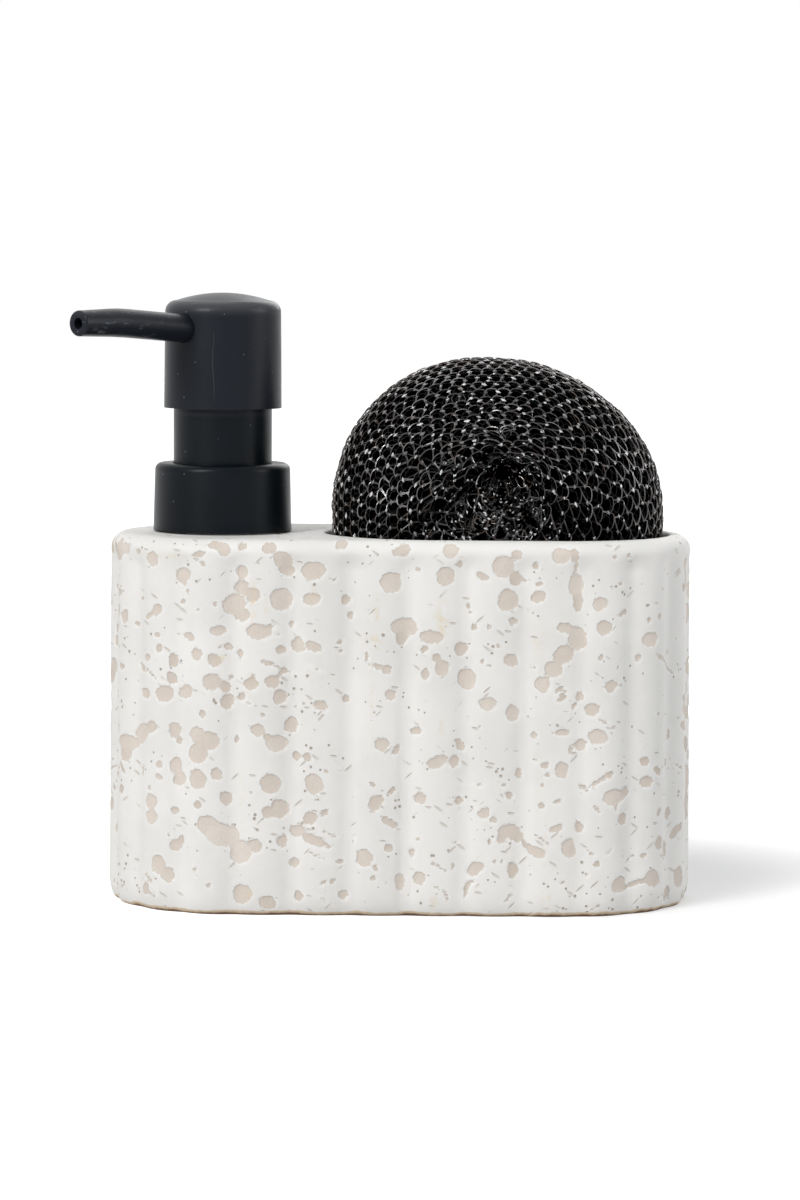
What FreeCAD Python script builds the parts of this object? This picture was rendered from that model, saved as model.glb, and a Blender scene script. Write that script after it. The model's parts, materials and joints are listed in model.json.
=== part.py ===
import FreeCAD, Part
import math
import os

# Soap pump caddy: a fluted ceramic body that holds a soap reservoir and an open pocket, a screw-on
# lotion pump standing in its deck, and a knitted scourer standing on edge in the pocket.
# Millimetres. +Z is up, +X runs along the body towards the pocket, and -Y is the front.
# The origin is the middle of the body's flat underside.

Vector = FreeCAD.Vector
UP = Vector(0, 0, 1)

# Ceramic body
body_length = 154.0
body_depth = 70.0
body_height = 97.2
body_draft = 0.5
wall = 5.8
base_thick = 6.0
deck_thick = 6.0
rim_round = 4.0
lip_round = 0.8
lip_flat_share = 0.85
foot_round_in = 2.0
foot_round_up = 6.5

# Ribs round the body, with a narrow soft valley between each two
rib_count = 26
rib_depth = 1.3
valley_half_width = 2.0
front_valley_x = 1.8
rib_fade_start = 8.0
rib_fade_end = 2.0
rim_rib_share = 0.03
foot_rib_share = 0.55
foot_height_shares = (0, 0.1, 0.3, 0.6, 1)
fade_height_shares = (0, 0.35, 0.6)
rim_turn_shares = (0.12, 0.35, 0.6, 0.8, 1)

# Scourer pocket and the reservoir, which runs on beneath the pocket
pocket_from_pump = 27.1
pocket_right_rim = 6.3
pocket_side_rim = 5.5
pocket_depth = 37.2
pocket_floor_thick = 5.5
pocket_floor_round = 4.0
partition_thick = 5.4
reservoir_corner_round = 5.0

# Pump axis and the hole in the deck
pump_from_left_end = 29.8
deck_hole_radius = 14.8

# Threaded neck insert, bonded into the deck hole
insert_bond_gap = 0.5
insert_below_deck = 1.0
insert_flange_radius = 16.0
insert_flange_thick = 1.2
neck_radius = 12.5
neck_bore_radius = 10.75
neck_height = 11.8

# Screw thread between the neck and the collar
thread_lead = 3.18
thread_height = 1.1
thread_root_width = 1.5
thread_crest_width = 0.8
thread_sink = 0.4
thread_gap = 0.45
thread_turns = 1.5
neck_thread_below_top = 8.0
thread_stations_per_turn = 4

# Gasket and pump housing
gasket_radius = 12.5
gasket_bore_radius = 8.0
gasket_thick = 1.2
housing_flange_radius = 12.6
housing_flange_thick = 1.5
housing_radius = 7.5
housing_bore_radius = 5.8
housing_length = 60.2
housing_neck_radius = 9.0
housing_neck_height = 6.3
chaplet_seat_radius = 7.0
chaplet_seat_depth = 6.0
vent_radius = 0.6
vent_below_flange = 9.0
socket_radius = 4.75
socket_depth = 10.0
housing_cone_height = 3.5

# Inlet valve at the bottom of the housing
valve_web_thick = 2.0
seat_radius = 2.0
seat_cone_depth = 1.0
ball_radius = 2.5
ball_clearance = 0.05
ball_lift = 1.2
cage_radius = 4.0
cage_wall = 1.0
cage_top_thick = 1.1
cage_flange_thick = 1.2
cage_slot_width = 1.6
cage_slot_height = 2.6
cage_slot_count = 4
cage_vent_radius = 1.5

# Dip tube
dip_tube_radius = 3.0
dip_tube_bore_radius = 2.2
dip_tube_off_floor = 3.0
dip_tube_slant_rise = 2.5

# Collar: an outer shell pressed over a ribbed threaded liner
collar_radius = 18.25
collar_draft = 0.5
collar_off_deck = 0.4
collar_top_above_deck = 18.1
collar_wall = 1.6
collar_top_thick = 1.5
collar_edge_round = 1.8
collar_hole_gap = 0.3
liner_radius = 15.2
liner_off_flange = 0.4
liner_lip_gap = 0.1
liner_rib_count = 12
liner_rib_width = 1.4

# Neck sleeve that the head slides over
sleeve_radius = 12.95
sleeve_wall = 1.4
sleeve_web_thick = 1.6
sleeve_web_gap = 0.2
sleeve_above_collar = 16.7

# Chaplet, which guides the stem
chaplet_flange_thick = 1.2
stem_running_gap = 0.1

# Stem, piston and piston rod
stem_radius = 4.0
stem_bore_radius = 2.5
stem_socket_depth = 11.0
piston_running_gap = 0.05
piston_length = 8.0
piston_below_chaplet = 0.3
piston_lip_depth = 1.8
piston_lip_wall = 1.1
piston_waist_share = 1.5
piston_bore_gap = 0.1
rod_radius = 2.2
rod_flange_radius = 4.7
rod_flange_thick = 1.4
rod_flange_gap = 0.3
rod_grip_length = 9.0
rod_grip_start = 4.0
rod_groove_width = 1.2
rod_groove_count = 4

# Return spring
spring_wire_radius = 0.45
spring_radius = 4.95
spring_turns = 11
spring_end_lead = 1.4
spring_stations_per_turn = 4

# Pump head
head_above_collar = 14.5
head_radius = 15.5
head_draft = 0.25
head_height = 30.2
head_dome_rise = 2.0
head_shoulder_round = 3.0
head_bore_radius = 13.35
head_roof_thick = 4.0
core_radius = 5.5
core_foot_in_head = 6.2
core_disc_thick = 1.6
core_passage_radius = 2.0
core_arm_radius = 5.0
core_arm_reach = 9.0
core_arm_socket = 5.5

# Spout, which points to the left and forwards
spout_turn = 229.0
spout_root_in_head = 21.0
spout_root_radius = 3.7
spout_tip_radius = 3.3
spout_bore_radius = 1.45
spout_reach = 53.5
spout_bend_reach = 39.3
spout_bend_length = 7.0
spout_bend_shares = (0, 0.25, 0.5, 0.75, 1)
spout_rise_angle = 4.2
spout_droop_angle = 0.3
spout_hole_gap = 0.1
spout_edge_round = 0.4

# Knitted scourer pad, gathered at the middle of each face
pad_end_gap = 1.7
pad_shift = 0.2
pad_height = 83.4
pad_off_floor = 0.4
pad_thick = 44.0
pad_outline_power_share = 2.2
pad_crown_shares = (
    (0, 1, 0), (0.3, 0.975, 0), (0.55, 0.9, 0), (0.78, 0.76, 0.3), (0.92, 0.58, 0.75),
    (0.985, 0.4, 1), (0.965, 0.24, 0.9), (0.9, 0.12, 0.5), (0.84, 0.04, 0),
)
pad_arc_count = 8
pad_slump_share = 0.055
pad_slump_angle = 52.0
pad_slump_power_share = 6
gather_x_offset = 1.0
gather_z_offset = 13.0
pad_crease_depth = 3.6
front_crease_shares = (0.3, 0, 0.4, 1, 0.6, 0.3, 0.7, 0.95)
back_crease_shares = (0.95, 0.2, 0.4, 0, 0.95, 0.7, 0, 0.9)

# Small helpers
overrun = 1.0
match = 0.01

# Heights and places that follow from the sizes above
pump_x = pump_from_left_end - body_length / 2
pocket_left_x = pump_x + pocket_from_pump
pocket_right_x = body_length / 2 - pocket_right_rim
pocket_width = body_depth - 2 * pocket_side_rim
pocket_floor_z = body_height - pocket_depth
collar_top_z = body_height + collar_top_above_deck
sleeve_top_z = collar_top_z + sleeve_above_collar
head_bottom_z = collar_top_z + head_above_collar
head_top_z = head_bottom_z + head_height
core_bottom_z = head_bottom_z + core_foot_in_head
spout_root_z = head_bottom_z + spout_root_in_head
neck_top_z = body_height + neck_height
gasket_top_z = neck_top_z + gasket_thick
flange_top_z = gasket_top_z + housing_flange_thick
housing_top_z = flange_top_z + housing_neck_height
chaplet_foot_z = housing_top_z - chaplet_seat_depth
housing_bottom_z = gasket_top_z - housing_length
dip_tube_top_z = housing_bottom_z + socket_depth
valve_floor_z = dip_tube_top_z + valve_web_thick
ball_seat_z = valve_floor_z - seat_cone_depth
ball_z = ball_seat_z + math.sqrt(ball_radius ** 2 - seat_radius ** 2) + ball_clearance
cage_top_z = ball_z + ball_radius + ball_lift + ball_clearance + cage_top_thick
spring_bottom_z = valve_floor_z + cage_flange_thick
piston_top_z = chaplet_foot_z - piston_below_chaplet
piston_foot_z = piston_top_z - piston_length
rod_flange_top_z = piston_foot_z - rod_flange_gap
spring_top_z = rod_flange_top_z - rod_flange_thick
stem_top_z = core_bottom_z + stem_socket_depth
collar_bottom_z = body_height + collar_off_deck
collar_roof_z = collar_top_z - collar_top_thick
collar_bore_radius = collar_radius - collar_draft - collar_wall
liner_bottom_z = body_height + insert_flange_thick + liner_off_flange
head_roof_z = head_top_z - head_roof_thick
pad_width = pocket_right_x - pocket_left_x - 2 * pad_end_gap
pad_centre_x = (pocket_left_x + pocket_right_x) / 2 + pad_shift
pad_foot_z = pocket_floor_z + pad_off_floor
pad_top_z = pad_foot_z + pad_height
plan_straight = (body_length - body_depth) / 2
plan_radius = body_depth / 2
plan_turn = math.pi * plan_radius
rib_pitch = (4 * plan_straight + 2 * plan_turn) / rib_count


def outline_place(run):
    """Point and outward way of the plan outline, a run away from the front middle towards +X."""
    run = run % (4 * plan_straight + 2 * plan_turn)
    if run < plan_straight:
        return Vector(run, -plan_radius, 0), Vector(0, -1, 0)
    run -= plan_straight
    if run < plan_turn:
        return round_end_place(plan_straight, -math.pi / 2 + run / plan_radius)
    run -= plan_turn
    if run < 2 * plan_straight:
        return Vector(plan_straight - run, plan_radius, 0), Vector(0, 1, 0)
    run -= 2 * plan_straight
    if run < plan_turn:
        return round_end_place(-plan_straight, math.pi / 2 + run / plan_radius)
    run -= plan_turn
    return Vector(run - plan_straight, -plan_radius, 0), Vector(0, -1, 0)


def round_end_place(centre_x, angle):
    """Point and outward way on the round end about centre_x, at this angle from +X."""
    way = Vector(math.cos(angle), math.sin(angle), 0)
    return Vector(centre_x, 0, 0) + way * plan_radius, way


def ribbed_wire(height, inset, depth):
    """Closed outline of the ribbed body at a height, drawn in by inset, with valleys this deep."""
    edge_depth = depth * (1 - 2 * valley_half_width / rib_pitch)

    def corner(run, sunk):
        point, way = outline_place(run)
        return point - way * (inset + sunk) + UP * height

    edges = []
    for rib in range(rib_count):
        valley = front_valley_x + rib * rib_pitch
        far_side = valley + rib_pitch - valley_half_width
        near = corner(valley - valley_half_width, edge_depth)
        far = corner(valley + valley_half_width, edge_depth)
        crest = corner(valley + rib_pitch / 2, 0)
        edges.append(Part.Arc(near, corner(valley, depth), far).toShape())
        edges.append(Part.Arc(far, crest, corner(far_side, edge_depth)).toShape())
    return Part.Wire(edges)


def body_section(height):
    """Outline of the body at a height: leaning sides, round foot and rim, ribs that fade at the rim."""
    inset = body_draft * height / body_height
    if height < foot_round_up:
        share = 1 - height / foot_round_up
        inset += foot_round_in * (1 - math.sqrt(1 - share ** 2))
        rib_share = foot_rib_share + (1 - foot_rib_share) * (1 - share)
    else:
        fade = (body_height - rib_fade_end - height) / (rib_fade_start - rib_fade_end)
        fade = min(1, max(0, fade))
        rib_share = max(rim_rib_share, fade * fade * (3 - 2 * fade))
    over = height - (body_height - rim_round)
    if over > 0:
        inset += rim_round - math.sqrt(max(0, rim_round ** 2 - over ** 2))
    return ribbed_wire(height, inset, rib_depth * rib_share)


def stadium_prism(left, right, width, bottom, top):
    """Upright prism whose plan is a stadium from left to right, as wide as width."""
    radius = width / 2
    a = Vector(left + radius, -radius, bottom)
    b = Vector(right - radius, -radius, bottom)
    c = Vector(right - radius, radius, bottom)
    d = Vector(left + radius, radius, bottom)
    wire = Part.Wire([
        Part.LineSegment(a, b).toShape(),
        Part.Arc(b, Vector(right, 0, bottom), c).toShape(),
        Part.LineSegment(c, d).toShape(),
        Part.Arc(d, Vector(left, 0, bottom), a).toShape(),
    ])
    return Part.Face(wire).extrude(UP * (top - bottom))


def level_edges(shape, height):
    """Edges of a shape that lie flat at this height."""
    return [
        edge for edge in shape.Edges
        if abs(edge.BoundBox.ZMin - height) < match and abs(edge.BoundBox.ZMax - height) < match
    ]


def ring_edges(shape, height, radius):
    """Full circles of a shape about the pump axis at this height, with this radius."""
    return [
        edge for edge in level_edges(shape, height)
        if isinstance(edge.Curve, Part.Circle) and abs(edge.Curve.Radius - radius) < match
    ]


def drum(radius, bottom, top):
    """Upright cylinder on the pump axis."""
    return Part.makeCylinder(radius, top - bottom, Vector(pump_x, 0, bottom))


def tube(radius, bore, bottom, top):
    """Upright tube on the pump axis."""
    return drum(radius, bottom, top).cut(drum(bore, bottom - overrun, top + overrun))


def turned(outline):
    """Solid turned about the pump axis from (radius, height) corners."""
    corners = [Vector(pump_x + radius, 0, height) for radius, height in outline + outline[:1]]
    return Part.Face(Part.makePolygon(corners)).revolve(Vector(pump_x, 0, 0), UP, 360)


def round_the_axis(shape, count, first=0):
    """Copies of a shape, evenly turned about the pump axis."""
    copies = []
    for index in range(count):
        copy = shape.copy()
        copy.rotate(Vector(pump_x, 0, 0), UP, first + 360 * index / count)
        copies.append(copy)
    return copies


def knee_arc(start, knee, end):
    """Arc from start to end that is tangent to the lines through the knee."""
    middle = (start + end) * 0.5
    cosine = (end - start).Length / 2 / (knee - start).Length
    through = middle + (knee - middle) * (cosine / (1 + cosine))
    return Part.Arc(start, through, end).toShape()


def two_arcs(start, start_way, end, end_way):
    """Two arcs that leave start and reach end along the given ways and join smoothly."""
    chord = end - start
    spread = 2 * (1 - start_way.dot(end_way))
    along = chord.dot(start_way + end_way)
    reach = (math.sqrt(along ** 2 + spread * chord.dot(chord)) - along) / spread
    start_knee = start + start_way * reach
    end_knee = end - end_way * reach
    middle = (start_knee + end_knee) * 0.5
    return [knee_arc(start, start_knee, middle), knee_arc(middle, end_knee, end)]


def coil_wire(radius, stations):
    """Path round the pump axis through (turns, height, rise per turn) stations."""
    places = []
    for turns, height, rise in stations:
        angle = 2 * math.pi * turns
        out = Vector(math.cos(angle), math.sin(angle), 0)
        way = Vector(-math.sin(angle), math.cos(angle), rise / (2 * math.pi * radius))
        places.append((Vector(pump_x, 0, height) + out * radius, way.normalize()))
    edges = []
    for (start, start_way), (end, end_way) in zip(places, places[1:]):
        edges += two_arcs(start, start_way, end, end_way)
    return Part.Wire(edges)


def thread_ridge(root_radius, crest_radius, start_z, turns):
    """Screw ridge whose foot is sunk in the wall at the root radius."""
    sunk_radius = root_radius - math.copysign(thread_sink, crest_radius - root_radius)
    steps = round(turns * thread_stations_per_turn)
    stations = []
    for step in range(steps + 1):
        turn = step / thread_stations_per_turn
        stations.append((turn, start_z + thread_lead * turn, thread_lead))
    path = coil_wire(root_radius, stations)
    half_root = thread_root_width / 2
    half_crest = thread_crest_width / 2
    corners = (
        (sunk_radius, -half_root), (root_radius, -half_root), (crest_radius, -half_crest),
        (crest_radius, half_crest), (root_radius, half_root), (sunk_radius, half_root),
        (sunk_radius, -half_root),
    )
    profile = Part.makePolygon([Vector(pump_x + r, 0, start_z + z) for r, z in corners])
    sweep = Part.BRepOffsetAPI.MakePipeShell(path)
    sweep.setBiNormalMode(UP)
    sweep.add(profile)
    sweep.build()
    sweep.makeSolid()
    return sweep.shape()


def make_caddy_body():
    """Fluted ceramic body with its pocket, its reservoir and the hole for the pump's neck."""
    heights = [foot_round_up * share for share in foot_height_shares]
    fade_z = body_height - rib_fade_start
    round_z = body_height - rim_round
    heights += [fade_z + (round_z - fade_z) * share for share in fade_height_shares]
    heights += [round_z + rim_round * math.sin(math.pi / 2 * share) for share in rim_turn_shares]
    block = Part.makeLoft([body_section(height) for height in heights], True, True)

    reach = body_length / 2 - wall
    cavity_width = body_depth - 2 * wall
    cavity_top = pocket_floor_z - pocket_floor_thick
    lower = stadium_prism(-reach, reach, cavity_width, base_thick, cavity_top)
    tall = stadium_prism(-reach, reach, cavity_width, base_thick, body_height - deck_thick)
    tall_right = pocket_left_x - partition_thick
    keep = Part.makeBox(
        tall_right + reach, cavity_width, body_height, Vector(-reach, -cavity_width / 2, 0))
    tall = tall.common(keep)
    corners = [
        edge for edge in tall.Edges
        if abs(edge.BoundBox.XMin - tall_right) < match and edge.BoundBox.XLength < match
        and edge.BoundBox.YLength < match
    ]
    tall = tall.makeFillet(reservoir_corner_round, corners)
    reservoir = lower.fuse(tall)

    pocket = stadium_prism(
        pocket_left_x, pocket_right_x, pocket_width, pocket_floor_z, body_height + overrun)
    pocket = pocket.makeFillet(pocket_floor_round, level_edges(pocket, pocket_floor_z))
    hole = drum(deck_hole_radius, body_height - deck_thick - overrun, body_height + overrun)

    body = block.cut(reservoir).cut(pocket).cut(hole)
    lip = [
        edge for edge in level_edges(body, body_height)
        if edge.BoundBox.XMin > pocket_left_x - match and edge.BoundBox.XMax < pocket_right_x + match
        and edge.BoundBox.YMax < pocket_width / 2 + match
        and edge.BoundBox.YMin > -pocket_width / 2 - match
    ]
    front_flat = (body_depth - pocket_width) / 2 - body_draft - rim_round
    return body.makeFillet(min(lip_round, lip_flat_share * front_flat), lip)


def make_neck_insert():
    """Threaded neck: a spigot in the deck hole, a flange on the deck and the screw thread."""
    spigot_radius = deck_hole_radius - insert_bond_gap
    spigot_foot_z = body_height - deck_thick - insert_below_deck
    flange_top = body_height + insert_flange_thick
    shape = turned([
        (neck_bore_radius, spigot_foot_z),
        (spigot_radius, spigot_foot_z),
        (spigot_radius, body_height),
        (insert_flange_radius, body_height),
        (insert_flange_radius, flange_top),
        (neck_radius, flange_top),
        (neck_radius, neck_top_z),
        (neck_bore_radius, neck_top_z),
    ])
    ridge = thread_ridge(
        neck_radius, neck_radius + thread_height, neck_top_z - neck_thread_below_top, thread_turns)
    return shape.fuse(ridge)


def make_insert_seal():
    """Bonding ring that fills the gap between the neck insert and the deck hole."""
    return tube(
        deck_hole_radius, deck_hole_radius - insert_bond_gap, body_height - deck_thick, body_height)


def make_neck_gasket():
    """Flat gasket between the neck's top and the housing flange."""
    return tube(gasket_radius, gasket_bore_radius, neck_top_z, gasket_top_z)


def make_pump_housing():
    """Pump cylinder with its flange, its upper neck, its valve seat and the dip tube socket."""
    cone_foot_z = dip_tube_top_z - housing_cone_height
    shape = turned([
        (0, housing_bottom_z),
        (socket_radius, housing_bottom_z),
        (socket_radius, cone_foot_z),
        (housing_radius, dip_tube_top_z),
        (housing_radius, gasket_top_z),
        (housing_flange_radius, gasket_top_z),
        (housing_flange_radius, flange_top_z),
        (housing_neck_radius, flange_top_z),
        (housing_neck_radius, housing_top_z),
        (0, housing_top_z),
    ])
    hollow = turned([
        (0, housing_bottom_z - overrun),
        (dip_tube_radius, housing_bottom_z - overrun),
        (dip_tube_radius, dip_tube_top_z),
        (seat_radius, dip_tube_top_z),
        (seat_radius, ball_seat_z),
        (seat_radius + seat_cone_depth, valve_floor_z),
        (housing_bore_radius, valve_floor_z),
        (housing_bore_radius, chaplet_foot_z),
        (chaplet_seat_radius, chaplet_foot_z),
        (chaplet_seat_radius, housing_top_z + overrun),
        (0, housing_top_z + overrun),
    ])
    vent = Part.makeCylinder(
        vent_radius, housing_radius + overrun,
        Vector(pump_x, 0, gasket_top_z - vent_below_flange), Vector(1, 0, 0))
    return shape.cut(hollow).cut(vent)


def make_chaplet():
    """Guide ring in the housing's neck, which keeps the piston in and guides the stem."""
    bore = stem_radius + stem_running_gap
    return turned([
        (bore, chaplet_foot_z),
        (chaplet_seat_radius, chaplet_foot_z),
        (chaplet_seat_radius, housing_top_z),
        (housing_neck_radius, housing_top_z),
        (housing_neck_radius, housing_top_z + chaplet_flange_thick),
        (bore, housing_top_z + chaplet_flange_thick),
    ])


def make_neck_sleeve():
    """Fixed cup round the stem, which stands out of the collar and which the head slides over."""
    foot_z = collar_roof_z + sleeve_web_gap
    shape = turned([
        (housing_neck_radius, foot_z),
        (sleeve_radius, foot_z),
        (sleeve_radius, sleeve_top_z),
        (sleeve_radius - sleeve_wall, sleeve_top_z),
        (sleeve_radius - sleeve_wall, foot_z + sleeve_web_thick),
        (housing_neck_radius, foot_z + sleeve_web_thick),
    ])
    return shape


def make_ball_cage():
    """Slotted cap over the inlet ball, whose flange seats the return spring."""
    shape = turned([
        (0, valve_floor_z),
        (housing_bore_radius, valve_floor_z),
        (housing_bore_radius, spring_bottom_z),
        (cage_radius, spring_bottom_z),
        (cage_radius, cage_top_z),
        (0, cage_top_z),
    ])
    shape = shape.cut(drum(cage_radius - cage_wall, valve_floor_z - overrun, cage_top_z - cage_top_thick))
    shape = shape.cut(drum(cage_vent_radius, valve_floor_z, cage_top_z + overrun))
    slot_foot_z = cage_top_z - cage_top_thick - cage_slot_height
    slot = Part.makeBox(
        cage_radius + overrun, cage_slot_width, cage_slot_height,
        Vector(pump_x, -cage_slot_width / 2, slot_foot_z))
    for one in round_the_axis(slot, cage_slot_count):
        shape = shape.cut(one)
    return shape


def make_valve_ball():
    """Inlet ball, which sits on the edge of its seat."""
    return Part.makeSphere(ball_radius, Vector(pump_x, 0, ball_z))


def make_dip_tube():
    """Tube from the housing's socket down to the reservoir floor, cut on the slant at its foot."""
    foot_z = base_thick + dip_tube_off_floor
    shape = tube(dip_tube_radius, dip_tube_bore_radius, foot_z, dip_tube_top_z)
    left = Vector(pump_x - dip_tube_radius - overrun, 0, foot_z - overrun)
    right_x = pump_x + dip_tube_radius
    wedge = Part.makePolygon([
        left,
        Vector(right_x + overrun, 0, foot_z - overrun),
        Vector(right_x + overrun, 0, foot_z + dip_tube_slant_rise),
        Vector(right_x, 0, foot_z + dip_tube_slant_rise),
        Vector(pump_x - dip_tube_radius, 0, foot_z),
        Vector(left.x, 0, foot_z),
        left,
    ])
    cutter = Part.Face(wedge).extrude(Vector(0, 2 * dip_tube_radius + 2 * overrun, 0))
    cutter.translate(Vector(0, -dip_tube_radius - overrun, 0))
    return shape.cut(cutter)


def spring_stations():
    """Quarter turns of the return spring, with a close turn at each end."""
    foot_z = spring_bottom_z + spring_wire_radius
    open_rise = spring_top_z - spring_bottom_z - 2 * spring_wire_radius - 2 * spring_end_lead
    open_lead = open_rise / (spring_turns - 2)
    stations = []
    for step in range(spring_turns * spring_stations_per_turn + 1):
        turn = step / spring_stations_per_turn
        low = min(turn, 1)
        high = max(0, turn - (spring_turns - 1))
        height = foot_z + spring_end_lead * (low + high) + open_lead * (turn - low - high)
        rise = open_lead
        if turn < 1 or turn > spring_turns - 1:
            rise = spring_end_lead
        if turn == 1 or turn == spring_turns - 1:
            rise = (open_lead + spring_end_lead) / 2
        stations.append((turn, height, rise))
    return stations


def make_return_spring():
    """Return spring: one unbroken round wire between the cage's flange and the rod's flange."""
    stations = spring_stations()
    path = coil_wire(spring_radius, stations)
    start = Vector(pump_x + spring_radius, 0, stations[0][1])
    way = Vector(0, 1, spring_end_lead / (2 * math.pi * spring_radius))
    ring = Part.Wire(Part.makeCircle(spring_wire_radius, start, way))
    spring = path.makePipeShell([ring], True, False)
    per_turn = spring_stations_per_turn
    gap = min(
        upper[1] - lower[1] for lower, upper in zip(stations, stations[per_turn:])
    ) - 2 * spring_wire_radius
    print("return_spring least gap between turns", round(gap, 3))
    return spring


def make_collar_shell():
    """Outer cap of the collar, open below, with the hole that the neck sleeve stands in."""
    top_radius = collar_radius - collar_draft
    hole_radius = sleeve_radius + collar_hole_gap
    shape = turned([
        (hole_radius, collar_bottom_z),
        (collar_radius, collar_bottom_z),
        (top_radius, collar_top_z),
        (hole_radius, collar_top_z),
    ])
    shape = shape.makeFillet(collar_edge_round, ring_edges(shape, collar_top_z, top_radius))
    return shape.cut(drum(collar_bore_radius, collar_bottom_z - overrun, collar_roof_z))


def make_collar_liner():
    """Threaded skirt inside the collar shell, whose lip holds the housing flange down."""
    bore = neck_radius + thread_height + thread_gap
    lip_z = flange_top_z + liner_lip_gap
    lip_bore = housing_neck_radius + collar_hole_gap
    shape = turned([
        (bore, liner_bottom_z),
        (liner_radius, liner_bottom_z),
        (liner_radius, collar_roof_z),
        (lip_bore, collar_roof_z),
        (lip_bore, lip_z),
        (bore, lip_z),
    ])
    rib = Part.makeBox(
        collar_bore_radius - liner_radius + thread_sink, liner_rib_width, collar_roof_z - liner_bottom_z,
        Vector(pump_x + liner_radius - thread_sink, -liner_rib_width / 2, liner_bottom_z))
    envelope = drum(collar_bore_radius, liner_bottom_z, collar_roof_z)
    for one in round_the_axis(rib, liner_rib_count):
        shape = shape.fuse(one.common(envelope))
    start_z = neck_top_z - neck_thread_below_top - thread_lead / 2
    ridge = thread_ridge(bore, bore - thread_height, start_z, thread_turns)
    return shape.fuse(ridge)


def make_stem():
    """Hollow stem from the piston up into the head."""
    return tube(stem_radius, stem_bore_radius, chaplet_foot_z, stem_top_z)


def make_piston():
    """Piston ring with a sealing lip at each end, sliding in the housing's bore."""
    radius = housing_bore_radius - piston_running_gap
    bore = rod_radius + piston_bore_gap
    inner = radius - piston_lip_wall
    return turned([
        (bore, piston_foot_z),
        (inner - piston_lip_wall, piston_foot_z),
        (inner, piston_foot_z + piston_lip_depth),
        (inner, piston_foot_z),
        (radius, piston_foot_z),
        (radius, piston_foot_z + piston_lip_depth),
        (inner, piston_foot_z + piston_waist_share * piston_lip_depth),
        (inner, piston_top_z - piston_waist_share * piston_lip_depth),
        (radius, piston_top_z - piston_lip_depth),
        (radius, piston_top_z),
        (inner, piston_top_z),
        (inner, piston_top_z - piston_lip_depth),
        (inner - piston_lip_wall, piston_top_z),
        (bore, piston_top_z),
    ])


def make_piston_rod():
    """Rod through the piston: a spring flange below it and a grooved grip in the stem above."""
    grip_foot_z = chaplet_foot_z + rod_grip_start
    grip_top_z = grip_foot_z + rod_grip_length
    shape = turned([
        (0, spring_top_z),
        (rod_flange_radius, spring_top_z),
        (rod_flange_radius, rod_flange_top_z),
        (rod_radius, rod_flange_top_z),
        (rod_radius, grip_foot_z),
        (stem_bore_radius, grip_foot_z),
        (stem_bore_radius, grip_top_z),
        (0, grip_top_z),
    ])
    groove = Part.makeBox(
        stem_bore_radius, rod_groove_width, rod_grip_length + 2 * overrun,
        Vector(pump_x + stem_bore_radius / 2, -rod_groove_width / 2, grip_foot_z - overrun))
    for one in round_the_axis(groove, rod_groove_count):
        shape = shape.cut(one)
    return shape


def spout_way():
    """Level way in which the spout points."""
    angle = math.radians(spout_turn)
    return Vector(math.cos(angle), math.sin(angle), 0)


def spout_place(reach):
    """Middle of the spout at this reach from the pump axis, and its slope there."""
    rise = math.tan(math.radians(spout_rise_angle))
    droop = -math.tan(math.radians(spout_droop_angle))
    start = spout_bend_reach - spout_bend_length / 2
    height = spout_root_z + rise * (reach - head_radius)
    slope = rise
    if reach > start:
        along = min(reach - start, spout_bend_length)
        slope = rise + (droop - rise) * along / spout_bend_length
        height = spout_root_z + rise * (start - head_radius) + (rise + slope) / 2 * along
        height += droop * max(0, reach - start - spout_bend_length)
    return Vector(pump_x, 0, height) + spout_way() * reach, slope


def spout_loft(root_radius, tip_radius, first_reach, last_reach):
    """Round solid along the spout's line between two reaches, tapering from the bend to the tip."""
    bend_start = spout_bend_reach - spout_bend_length / 2
    bend = [bend_start + spout_bend_length * share for share in spout_bend_shares]
    reaches = [first_reach] + [reach for reach in bend if first_reach < reach < last_reach] + [last_reach]
    rings = []
    for reach in reaches:
        share = max(0, (reach - spout_bend_reach) / (spout_reach - spout_bend_reach))
        radius = root_radius + (tip_radius - root_radius) * share
        centre, slope = spout_place(reach)
        rings.append(Part.Wire(Part.makeCircle(radius, centre, spout_way() + UP * slope)))
    return Part.makeLoft(rings, True, True)


def make_spout():
    """Bent spout with its bore, from the head core's arm to the tip."""
    shape = spout_loft(spout_root_radius, spout_tip_radius, core_arm_socket, spout_reach)
    tip = [
        edge for edge in shape.Edges
        if (edge.CenterOfMass - spout_place(spout_reach)[0]).Length < match
    ]
    shape = shape.makeFillet(spout_edge_round, tip)
    bore = spout_loft(
        spout_bore_radius, spout_bore_radius, core_arm_socket - overrun, spout_reach + overrun)
    return shape.cut(bore)


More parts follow.
